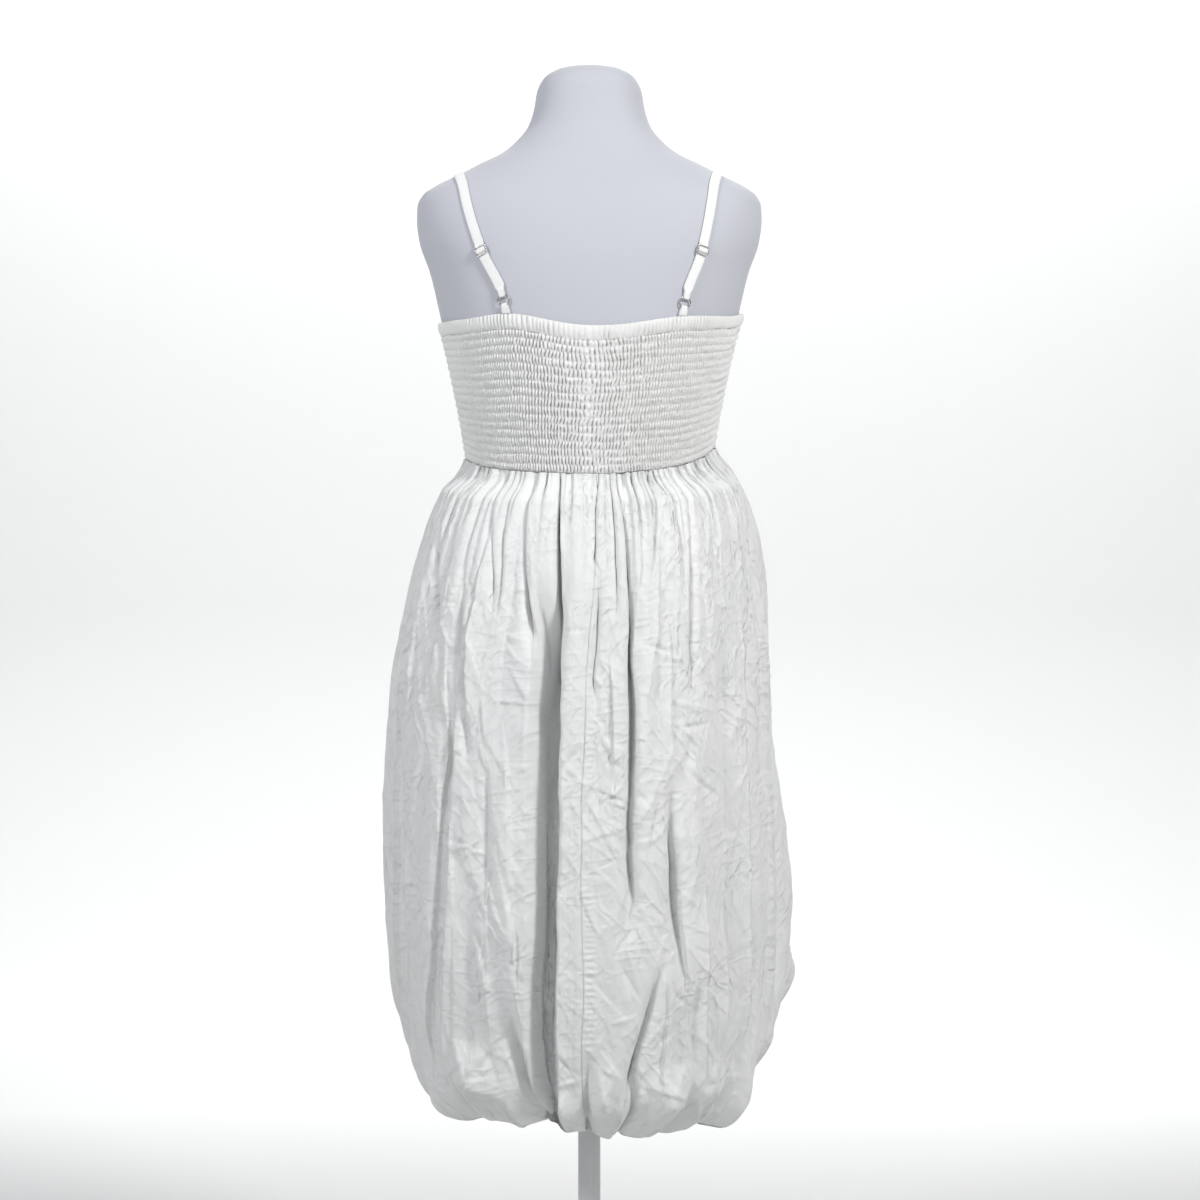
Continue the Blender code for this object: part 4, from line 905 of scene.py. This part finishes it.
def make_skirt_panel(name, start, end, columns, rows):
    """One panel as a sheet, with its seam allowances turned in at both sides and along the top."""
    edge = math.degrees(SEAM_MARGIN / WAIST_RADIUS)
    angles = np.linspace(start + edge, end - edge, columns)
    top, turn = rows * TOP_ROWS // 100, rows * TURN_ROWS // 100
    drops = [np.linspace(0, TOP_DROP, top, endpoint=False), np.linspace(TOP_DROP, 1, rows - top - turn)]
    drops = np.concatenate([*drops, 1 + np.linspace(0, 1, turn + 1)[1:]])
    drop, angle = np.meshgrid(drops, angles, indexing="ij")
    for seam in (start, end):
        near = 1 - abs(angle - seam) / (end - start)
        angle = angle - seam_drift(drop) * near * (seam == CENTRE_BACK_SEAM)
    points = skirt_points(angle, drop)
    out, _ = directions(angle)
    turned_in = points[:, [0, -1]] - out[:, [0, -1]] * ALLOWANCE_DEPTH
    points = np.concatenate([turned_in[:, :1], points, turned_in[:, 1:]], axis=1)
    lip = points[:1].copy()
    lip[0, 1:-1] -= out[0] * LIP_DEPTH
    points = np.concatenate([lip, points], axis=0)
    u = np.concatenate([[angles[0] - 1.7], angles, [angles[-1] + 1.7]]) * ARC
    v = -np.concatenate([[drops[0] - 0.002], drops]) * DROP
    uv = np.stack(np.meshgrid(u, v), -1)
    made = grid_object(f"{name}_cloth", points, COTTON, uv)
    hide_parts(name)
    return made


# Bodice


def bodice_height(angle, share):
    low = EDGE_CURVES.at("waist", turned(angle)) + SEAM_GAP / 2
    return low + (EDGE_CURVES.at("top", turned(angle)) - low) * share


BACK_TALL = 0.17         # the shirred cloth from its waist to its top
BACK_ARC = 0.0042        # metres of the shirred cloth for each degree
CASING_SHARE = CASING / (EDGES[0].top - EDGES[0].waist)
PUCKER_DEPTH = 0.0040
PUCKER_DEEPER = 0.0034   # between the middle and the side seams
CASING_ROLL = 0.0028
CASING_GATHERS = 0.8     # for each pucker of a row


def between(angle):
    """1 half way between the middle of the back and a side seam, and 0 at both."""
    return np.sin(np.radians(2 * angle)) ** 2


def wave(turns):
    """A round wave from 0 to 1."""
    return 0.5 + 0.5 * np.cos(turns)


def shirring(angle, share):
    """How far the shirred cloth stands off, between rows of elastic and in fine upright puckers."""
    round_way = (angle + SIDE_SEAM) / (2 * SIDE_SEAM)
    place = on_cloth(angle * 0.002, share * BACK_TALL)
    row = share / (1 - CASING_SHARE) * SHIRR_ROWS
    row = row + layer_noise(place, ROW_SWAY)
    in_casing = smooth(SHIRR_ROWS - 0.05, SHIRR_ROWS + 0.05, row)
    part = row - np.floor(row)
    puff = np.sin(np.pi * part) ** 0.7
    shift = 0.5 * np.sin(np.floor(row) * 12.9898) + layer_noise(place, PUCKER_SHIFT)
    slant = layer_noise(place, PUCKER_SLANT)
    phase = 2 * np.pi * (PUCKERS * round_way + shift + slant * (part - 0.5))
    phase += layer_noise(place, PUCKER_SPACING)
    strong = np.clip(0.95 + layer_noise(place, PUCKER_STRENGTH), 0.3, 1.6)
    side = between(angle)
    deep = (PUCKER_DEPTH + PUCKER_DEEPER * side) * wave(phase) ** 2.6 * strong * puff
    deep += 0.0016 * bell(row - SHIRR_ROWS, 0.16) * np.clip(0.5 + layer_noise(place, CASING_GROOVE), 0, 1.2)
    shirred = 0.0006 + (0.0017 + 0.0004 * side) * puff + layer_noise(place, PUCKER_TILT) - deep
    shirred = np.maximum(shirred, -CLOTH * 0.8)
    up = np.clip((share - 1 + CASING_SHARE) / CASING_SHARE, 0.02, 0.98)
    roll = CASING_ROLL * np.sin(np.pi * up) ** 0.4
    turns = 2 * np.pi * PUCKERS * CASING_GATHERS * round_way + layer_noise(place, CASING_SPACING)
    casing = roll - roll * wave(turns) ** 2 * np.clip(0.7 + layer_noise(place, CASING_STRENGTH), 0.1, 1.3)
    return shirred * (1 - in_casing) + casing * in_casing


def side_lift(angle, share):
    """At the side seams the top edge stands a little away from the form."""
    right, left = turned(angle) - SIDE_SEAM, half_turn_apart(turned(angle) + SIDE_SEAM)
    return smooth(0.72, 1, share) * (0.0028 * bell(right, 12) + 0.0012 * bell(left, 11))


TURNED_IN = 0.004        # width of the edges that turn in towards the form


def with_turned_sides(points):
    """A grid of points with an edge turned in towards the form at both sides."""
    sides = points[:, [0, -1]].copy()
    sides[..., :2] *= (1 - TURNED_IN / np.linalg.norm(sides[..., :2], axis=-1))[..., None]
    return np.concatenate([sides[:, :1], points, sides[:, 1:]], axis=1)


def make_bodice_back():
    edge = SIDE_SEAM - 0.1
    angles, shares = np.linspace(-edge, edge, 600), np.linspace(0, 1, 146)
    share, angle = np.meshgrid(shares, angles, indexing="ij")
    relief = shirring(angle, share)
    off = FORM_GAP + CLOTH + relief + side_lift(angle, share)
    points = form_points(angle, bodice_height(angle, share), off)
    around, top = angle[:1], bodice_height(angle[:1], 1)
    bottom = form_points(around, bodice_height(around, 0), FORM_GAP + CLOTH * 0.8)
    rim = form_points(around, top + 0.0002, FORM_GAP + CLOTH * 0.5)
    inner = form_points(around, top - TURNED_IN, FORM_GAP)
    points = np.concatenate([bottom, points, rim, inner], axis=0)
    # Painted shade in the puckers' hollows: the lower the cloth sinks, the darker it is painted
    painted_shade = np.zeros(points.shape[:2])
    painted_shade[1:-2] = np.clip((0.0007 + 0.0006 * between(angle) - relief) / 0.0016, 0, 1) ** 1.3
    u = np.concatenate([[-edge - 1], angles, [edge + 1]]) * BACK_ARC
    v = np.concatenate([[-0.01], shares, [1.01, 1.04]]) * BACK_TALL
    uv = np.stack(np.meshgrid(u, v), -1)
    painted_shade = np.pad(painted_shade, ((0, 0), (1, 1)))
    made = grid_object("bodice_back_cloth", with_turned_sides(points), SHIRRED, uv, painted_shade=painted_shade)
    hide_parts("bodice_back")
    return made


FRONT_UNEVEN = ((0.0008, (0.030, 0.030, 0.020), 41), (0.0005, (0.011, 0.011, 0.030), 42))
NECK_HEM = 0.0115        # depth of the front's turned top edge
NECK_HEM_RISE = 0.0009
NECK_HEM_GROOVE = 0.0007
LEAST_LIFT = 0.0006


def make_bodice_front():
    edge = 0.1
    angles, shares = np.linspace(SIDE_SEAM + edge, 360 - SIDE_SEAM - edge, 220), np.linspace(0, 1, 110)
    share, angle = np.meshgrid(shares, angles, indexing="ij")
    height = bodice_height(angle, share)
    base = form_points(angle, height, 0, bridged=True)
    off = FRONT_GAP + CLOTH + sum(strength * noise(base, size, seed) for strength, size, seed in FRONT_UNEVEN)
    away = EDGE_CURVES.at("top", turned(angle)) - height
    turned_edge = 1 - smooth(NECK_HEM - 0.001, NECK_HEM + 0.001, away)
    off += NECK_HEM_RISE * turned_edge - NECK_HEM_GROOVE * bell(away - NECK_HEM, 0.0009)
    off = np.maximum(off, FRONT_GAP + LEAST_LIFT) + side_lift(angle, share)
    points = form_points(angle, height, off, bridged=True)
    inner = form_points(angle[-1:], height[-1:] - TURNED_IN, FRONT_GAP, bridged=True)
    bottom = form_points(angle[:1], height[:1], FRONT_GAP, bridged=True)
    points = np.concatenate([bottom, points, inner], axis=0)
    u = np.concatenate([[angles[0] - 1], angles, [angles[-1] + 1]]) * 0.0024
    v = np.concatenate([[-0.01], shares, [1.03]]) * 0.15
    uv = np.stack(np.meshgrid(u, v), -1)
    made = grid_object("bodice_front_cloth", with_turned_sides(points), PRESSED, uv)
    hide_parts("bodice_front")
    return made


THREAD_RADIUS = 0.00022
STITCH_RISE = (-0.0003, 0.0002, 0.0002, -0.0003)


def stitches(name, path, out, length, pitch):
    """A row of stitches: short thread ends up, sunk in at both ends, along a dense path of points."""
    along = np.concatenate([[0], np.cumsum(np.linalg.norm(np.diff(path, axis=0), axis=1))])
    parts = []
    for start in np.arange(pitch / 2, along[-1] - pitch, pitch):
        places = [start, start + length * 0.3, start + length * 0.7, start + length]
        line = np.stack([np.interp(places, along, path[:, axis]) for axis in range(3)], -1)
        away = np.stack([np.interp(places, along, out[:, axis]) for axis in range(3)], -1)
        line = line + away * np.array(STITCH_RISE)[:, None]
        parts.append(tube(line, THREAD_RADIUS, 6, closed=False))
    made = joined(name, parts, THREAD)


def make_stitching():
    """The seams of the back casing and of the front neckline."""
    angle = np.linspace(-SIDE_SEAM + 2, SIDE_SEAM - 2, 900)
    share = np.full_like(angle, 1 - CASING_SHARE)
    off = FORM_GAP + CLOTH + 0.0014 + side_lift(angle, share)
    path = form_points(angle, bodice_height(angle, share), off)
    stitches("casing_stitches", path, directions(angle)[0], length=0.0021, pitch=0.0029)
    angle = np.linspace(SIDE_SEAM + 2, 360 - SIDE_SEAM - 2, 900)
    height = bodice_height(angle, 1) - 0.0100
    off = FRONT_GAP + CLOTH + 0.0016 + side_lift(angle, np.full_like(angle, 0.94))
    path = form_points(angle, height, off, bridged=True)
    stitches("neckline_stitches", path, directions(angle)[0], length=0.0022, pitch=0.0030)


BAND_LOW = 0.017         # the band's lower edge, above the bottom of the hem
BAND_HALF = 0.013        # half its height
BAND_HALF_WALL = 0.00075


def make_hem_band():
    """The elastic inside the hem, in its gathered casing."""
    angles, sections = np.linspace(-95, 265, 420, endpoint=False), 12
    turn, angle = np.meshgrid(np.linspace(0, 2 * np.pi, sections, endpoint=False), angles, indexing="ij")
    base = skirt_outline(angle, np.ones_like(angle))
    out, _ = directions(angle)
    gather = 0.0005 * np.cos(np.radians(angle) * 140 + 2 * np.sin(np.radians(angle) * 17))
    middle = HEM_TURN[-1].inwards + 0.0016 + HEM_ROUND * 0.25 * np.cos(np.radians(angle)) ** 4
    inwards = middle - BAND_HALF_WALL * power(np.cos(turn), 6) + gather * (np.cos(turn) < -0.2)
    points = base - out * inwards[..., None]
    points[..., 2] += BAND_LOW + BAND_HALF + BAND_HALF * power(np.sin(turn), 6)
    uv = np.stack(np.meshgrid(angles * ARC, np.linspace(0, 0.06, sections)), -1)
    made = grid_object("hem_band_cloth", points, ELASTIC, uv, wrap=True, ring=True)
    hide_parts("hem_band")
    return made


# Straps


class Strap:
    """A frame laid over the shoulder: along the strap from the back edge, up from the form and across."""

    def __init__(self, side):
        self.side = side
        self.ends = [EDGE_CURVES.at("top", angle) + SEAM_GAP for angle in STRAP_ENDS[side]]
        turns = np.arange(STRAP_WAY[-1].turn, STRAP_WAY[0].turn - 1, -1.0)
        heights = self.on_form(turns)[:, 2]
        first = self.crossing(heights, turns, self.ends[0])
        last = self.crossing(heights[::-1], turns[::-1], self.ends[1])
        self.places = self.on_form(np.linspace(first, last, 121))
        steps = np.linalg.norm(np.diff(self.places, axis=0), axis=1)
        self.lengths = np.concatenate([[0], np.cumsum(steps)])
        self.length = self.lengths[-1]

    def crossing(self, heights, turns, height):
        """The turn at which the way first rises past a height."""
        i = np.argmax((heights[:-1] <= height) & (height < heights[1:]))
        return turns[i] + (turns[i + 1] - turns[i]) * (height - heights[i]) / (heights[i + 1] - heights[i])

    def on_form(self, turns):
        """The form's outermost points on lines from the pivot, at the strap's own x."""
        x = STRAP_CURVES.at(self.side, turns)
        ray = np.stack([np.zeros_like(turns), np.cos(np.radians(turns)), np.sin(np.radians(turns))], -1)
        start = np.stack([x, np.full_like(x, STRAP_PIVOT.y), np.full_like(x, STRAP_PIVOT.z)], -1)
        near, far = np.full(turns.shape, 0.02), np.full(turns.shape, 0.30)
        for _ in range(40):
            middle = (near + far) / 2
            inside = form_fullness(start + ray * middle[:, None]) < 1
            near, far = np.where(inside, middle, near), np.where(inside, far, middle)
        return start + ray * near[:, None]

    def points(self, along, up, across):
        """Points in this frame. Those at either end are set level with the bodice's edge."""
        along, up, across = np.broadcast_arrays(along, up, across)
        i = np.clip(np.searchsorted(self.lengths, along, side="left"), 1, len(self.lengths) - 1)
        share = (along - self.lengths[i - 1]) / (self.lengths[i] - self.lengths[i - 1])
        place = self.places[i - 1] + (self.places[i] - self.places[i - 1]) * share[..., None]
        low, high = np.maximum(i - 3, 0), np.minimum(i + 2, len(self.places) - 1)
        forward = normalised(self.places[high] - self.places[low])
        normal = form_normals(place)
        normal = normalised(normal - forward * (normal * forward).sum(-1, keepdims=True))
        points = place + normal * up[..., None] + np.cross(forward, normal) * across[..., None]
        end = (along <= 0) | (along >= self.length)
        edge = EDGE_CURVES.at("top", form_angle(points)) + SEAM_GAP
        shift = np.where(end, (edge - points[..., 2]) / forward[..., 2], 0)
        return points + forward * shift[..., None]


def normalised(vectors):
    return vectors / np.linalg.norm(vectors, axis=-1, keepdims=True)


def form_shares(points):
    """How far across and forward points are, as shares of the form's half width and depth."""
    away = points[..., 1] - FORM_CURVES.at("lean", points[..., 2])
    back, front = (FORM_CURVES.at(name, points[..., 2]) for name in ("back", "front"))
    return points[..., 0] / FORM_CURVES.at("width", points[..., 2]), away / np.where(away < 0, back, front)


def form_fullness(points):
    across, forward = form_shares(points)
    return np.abs(across) ** FORM_SQUARE + np.abs(forward) ** FORM_SQUARE


def form_normals(points, step=0.0015):
    shifts = np.eye(3) * step
    return normalised(np.stack([form_fullness(points + s) - form_fullness(points - s) for s in shifts], -1))


def form_angle(points):
    across, forward = form_shares(points)
    half = FORM_SQUARE / 2
    s, c = np.copysign(np.abs(across) ** half, across), -np.copysign(np.abs(forward) ** half, forward)
    return turned(np.degrees(np.arctan2(s, c)))


Step = namedtuple("Step", "index along up half")
STRAP_HEM = 0.22         # how much thinner the strap is along its two lines of stitching


def end_caps(rows, columns):
    """Faces that close both ends of a wrapped grid."""
    return [list(range(columns))[::-1], list(range((rows - 1) * columns, rows * columns))]


def ribbon(name, strap, way, samples, node):
    """A soft flat band along a way of (along, up, half width) in a strap's frame, with rounded edges."""
    curves = Curves([Step(i, *step) for i, step in enumerate(way)])
    index = np.interp(np.linspace(0, 1, samples), np.linspace(0, 1, len(way)), np.arange(len(way)))
    along, up, half = (curves.at(column, index) for column in ("along", "up", "half"))
    run, rise = np.gradient(along), np.gradient(up)
    ends = (along <= 0) | (along >= strap.length)
    rise = np.where(ends, 0, rise)
    long = np.hypot(run, rise)
    turn = np.linspace(0, 2 * np.pi, 20, endpoint=False)
    across = power(np.cos(turn), 5)
    over = power(np.sin(turn), 2.6) * STRAP_WALL / 2
    over = over * (1 - STRAP_HEM * bell(np.abs(across) - 0.70, 0.06))
    grid_along = np.where(ends[:, None], along[:, None], along[:, None] - (rise / long)[:, None] * over)
    grid_up = up[:, None] + (run / long)[:, None] * over
    points = strap.points(grid_along, grid_up, half[:, None] * across)
    rows, columns = points.shape[:2]
    faces = grid_faces(rows, columns, wrap=True) + end_caps(rows, columns)
    distance = np.concatenate([[0], np.cumsum(np.hypot(np.diff(along), np.diff(up)))])
    uv = np.stack(np.meshgrid(np.linspace(0, 0.024, columns), distance), -1).reshape(-1, 2)
    made = mesh_object(name, points.reshape(-1, 3), faces, SATIN, uv)
    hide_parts(node)
    return made


def half_turn(middle_along, direction):
    """Steps round the ring's wire from the upper layer to the lower one."""
    centre, radius = (LOOP_HIGH + STRAP_LOW) / 2, (LOOP_HIGH - STRAP_LOW) / 2
    steps = []
    for turn in (90, 55, 20, -20, -55, -90):
        s, c = math.sin(math.radians(turn)), math.cos(math.radians(turn))
        steps.append((middle_along - direction * radius * c, centre + radius * s, LOOP_HALF))
    return steps


LOOP_SHARE = 0.83        # of the ring's radius, where a loop's turn has its middle


def make_strap(side, strap):
    """From the front over the shoulder and the slider's middle bar, round the ring and back to the slider."""
    way = [(strap.length * (1 - i / 34), STRAP_LOW, STRAP_HALF) for i in range(34)]
    way = [step for step in way if step[0] > SLIDER_AT + 0.014]
    for off, up in ((0.0100, STRAP_LOW), (0.0065, STRAP_HIGH), (0.0039, STRAP_HIGH), (0.0009, SLIDER_HUMP),
                    (-0.0009, SLIDER_HUMP), (-0.0039, STRAP_HIGH), (-0.0080, STRAP_HIGH)):
        way.append((SLIDER_AT + off, up, STRAP_HALF))
    way += [(RING_AT + off, STRAP_HIGH, STRAP_HALF) for off in (0.0300, 0.0170)]
    way.append((RING_AT + 0.0110, LOOP_HIGH, LOOP_HALF))
    way += half_turn(RING_AT + RING_RADIUS * LOOP_SHARE, 1)
    way.append((RING_AT + 0.0110, STRAP_LOW, LOOP_HALF))
    for along in (RING_AT + 0.0170, RING_AT + 0.0300, SLIDER_AT - 0.0080, SLIDER_AT):
        way.append((along, STRAP_LOW, STRAP_HALF))
    ribbon(f"strap_{side}_cloth", strap, way, samples=460, node=f"strap_{side}")


def make_tab(side, strap):
    way = [(0, STRAP_HIGH, TAB_HALF), (RING_AT * 0.22, LOOP_HIGH - 0.0006, TAB_HALF)]
    way += half_turn(RING_AT - RING_RADIUS * LOOP_SHARE, -1)
    way += [(RING_AT * 0.22, STRAP_LOW, TAB_HALF), (0, STRAP_LOW, TAB_HALF)]
    ribbon(f"tab_{side}_cloth", strap, way, samples=80, node=f"tab_{side}")


def make_fittings(side, strap):
    """The wire ring, and the slider with its frame and middle bar."""
    turns = np.linspace(0, 2 * np.pi, 56, endpoint=False)
    path = strap.points(RING_AT + RING_RADIUS * np.cos(turns), RING_MIDDLE, RING_RADIUS * np.sin(turns))
    normal = Vector(form_normals(path[:1])[0])
    ring = joined(f"ring_{side}_wire", [tube(path, RING_WIRE, 12, up=normal)], STEEL)
    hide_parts(f"ring_{side}")
    long, wide = SLIDER_HALF_HEIGHT - SLIDER_WIRE, SLIDER_HALF_WIDTH - SLIDER_WIRE
    turns = np.linspace(0, 2 * np.pi, 72, endpoint=False)
    along, across = long * power(np.cos(turns), 7), wide * power(np.sin(turns), 7)
    outline = strap.points(SLIDER_AT + along, SLIDER_MIDDLE, across)
    bar = strap.points(SLIDER_AT, SLIDER_MIDDLE, np.linspace(-wide, wide, 12))
    wires = [tube(outline, SLIDER_WIRE, 12, up=normal), tube(bar, SLIDER_WIRE, 12, closed=False, up=normal)]
    slider = joined(f"slider_{side}_wire", wires, STEEL)
    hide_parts(f"slider_{side}")


# Form and stand


def make_form():
    """The form's cover, finer than its solid, with a slightly domed neck."""
    heights = np.unique(np.concatenate([np.linspace(0.735, 1.33, 90), np.linspace(1.33, 1.52, 90)]))
    angles = np.linspace(-180, 180, 144, endpoint=False)
    height, angle = np.meshgrid(heights, angles, indexing="ij")
    faces = grid_faces(*angle.shape, wrap=True) + end_caps(*angle.shape)
    made = mesh_object("form_cover", form_points(angle, height).reshape(-1, 3), faces, JERSEY)
    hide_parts("form_torso")


def finish_stand():
    for node in ("form_pole", "form_base"):
        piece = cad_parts[node]
        piece.data.materials.clear()
        piece.data.materials.append(LACQUER)


# Scene


STAGE_HALF = 7.0         # how far the floor reaches to each side and in front
SWEEP_START, SWEEP_RADIUS, BACKDROP_TOP = 3.3, 0.9, 4.5
FLOOR_GREY, BACKDROP_WHITE = (0.60, 0.60, 0.60), (0.93, 0.93, 0.93)


def make_stage():
    """A pale floor that sweeps up into the backdrop."""
    steps = [(-STAGE_HALF, 0.0), (SWEEP_START, 0.0)]
    for turn in np.linspace(0.1, math.pi / 2, 16):
        steps.append((SWEEP_START + SWEEP_RADIUS * math.sin(turn), SWEEP_RADIUS * (1 - math.cos(turn))))
    steps.append((SWEEP_START + SWEEP_RADIUS, BACKDROP_TOP))
    points = [(x, y, z) for y, z in steps for x in (-STAGE_HALF, STAGE_HALF)]
    faces = [(2 * i, 2 * i + 1, 2 * i + 3, 2 * i + 2) for i in range(len(steps) - 1)]
    mesh = bpy.data.meshes.new("backdrop")
    mesh.from_pydata(points, [], faces)
    mesh.shade_smooth()
    paper = Shader("backdrop_paper", FLOOR_GREY, 0.9)
    place = paper.node("ShaderNodeTexCoord").outputs["Object"]
    paper.bump(paper.noise(place, 60, 3.0), 0.0004, 0.2)
    far = paper.node("ShaderNodeSeparateXYZ", {"Vector": place}).outputs["Y"]
    links = {"Value": far, "From Min": 0.7, "From Max": 1.8}
    paper.tint(paper.node("ShaderNodeMapRange", links).outputs["Result"], BACKDROP_WHITE)
    mesh.materials.append(paper.material)
    add_object("backdrop", mesh)


LIGHTS = table(
    "Light", "name place target size watts colour",
    ("key", (1.5, -1.7, 2.5), (0, 0, 0.85), (0.5, 0.5), 50, (1.0, 0.995, 0.98)),
    ("fill", (-1.6, -1.6, 2.2), (0, 0, 0.85), (0.7, 0.7), 29, (0.97, 0.985, 1.0)),
    ("backdrop_wash", (0, 2.8, 4.2), (0, 4.2, 1.0), (5.5, 1.0), 115, (1, 1, 1)),
    ("front_fill", (0.9, 2.2, 2.9), (0, 0, 0.9), (0.6, 0.6), 7, (1, 1, 1)),
)
SKY, SKY_STRENGTH = (0.96, 0.98, 1.0), 0.30


def make_studio():
    make_stage()
    for row in LIGHTS:
        light = bpy.data.lights.new(row.name, "AREA")
        light.shape = "RECTANGLE"
        light.size, light.size_y = row.size
        light.energy = row.watts
        light.color = row.colour
        made = add_object(row.name, light)
        made.location = row.place
        made.rotation_euler = (Vector(row.target) - made.location).to_track_quat("-Z", "Y").to_euler()
    world = bpy.data.worlds.new("studio")
    world.use_nodes = True
    world.node_tree.nodes["Background"].inputs["Color"].default_value = (*SKY, 1)
    world.node_tree.nodes["Background"].inputs["Strength"].default_value = SKY_STRENGTH
    bpy.context.scene.world = world
    bpy.context.scene.view_settings.view_transform = "Standard"
    camera = bpy.data.cameras.new("photo_view")
    camera.sensor_width = SENSOR
    camera.lens = SENSOR * VIEW_DISTANCE / VIEW_WIDTH
    made = add_object("photo_view", camera)
    made.location = (VIEW_CENTRE[0], -VIEW_DISTANCE, VIEW_CENTRE[1])
    made.rotation_euler = (math.pi / 2, 0, 0)
    bpy.context.scene.camera = made


def main():
    back_left = make_skirt_panel("skirt_back_left", -SIDE_SEAM, CENTRE_BACK_SEAM, columns=230, rows=424)
    back_right = make_skirt_panel("skirt_back_right", CENTRE_BACK_SEAM, SIDE_SEAM, columns=230, rows=424)
    front = make_skirt_panel("skirt_front", SIDE_SEAM, 360 - SIDE_SEAM, columns=300, rows=312)
    shirred = make_bodice_back()
    plain = make_bodice_front()
    make_stitching()
    band = make_hem_band()
    for side in ("left", "right"):
        strap = Strap(side)
        make_strap(side, strap)
        make_tab(side, strap)
        make_fittings(side, strap)
    make_form()
    finish_stand()
    make_studio()


main()
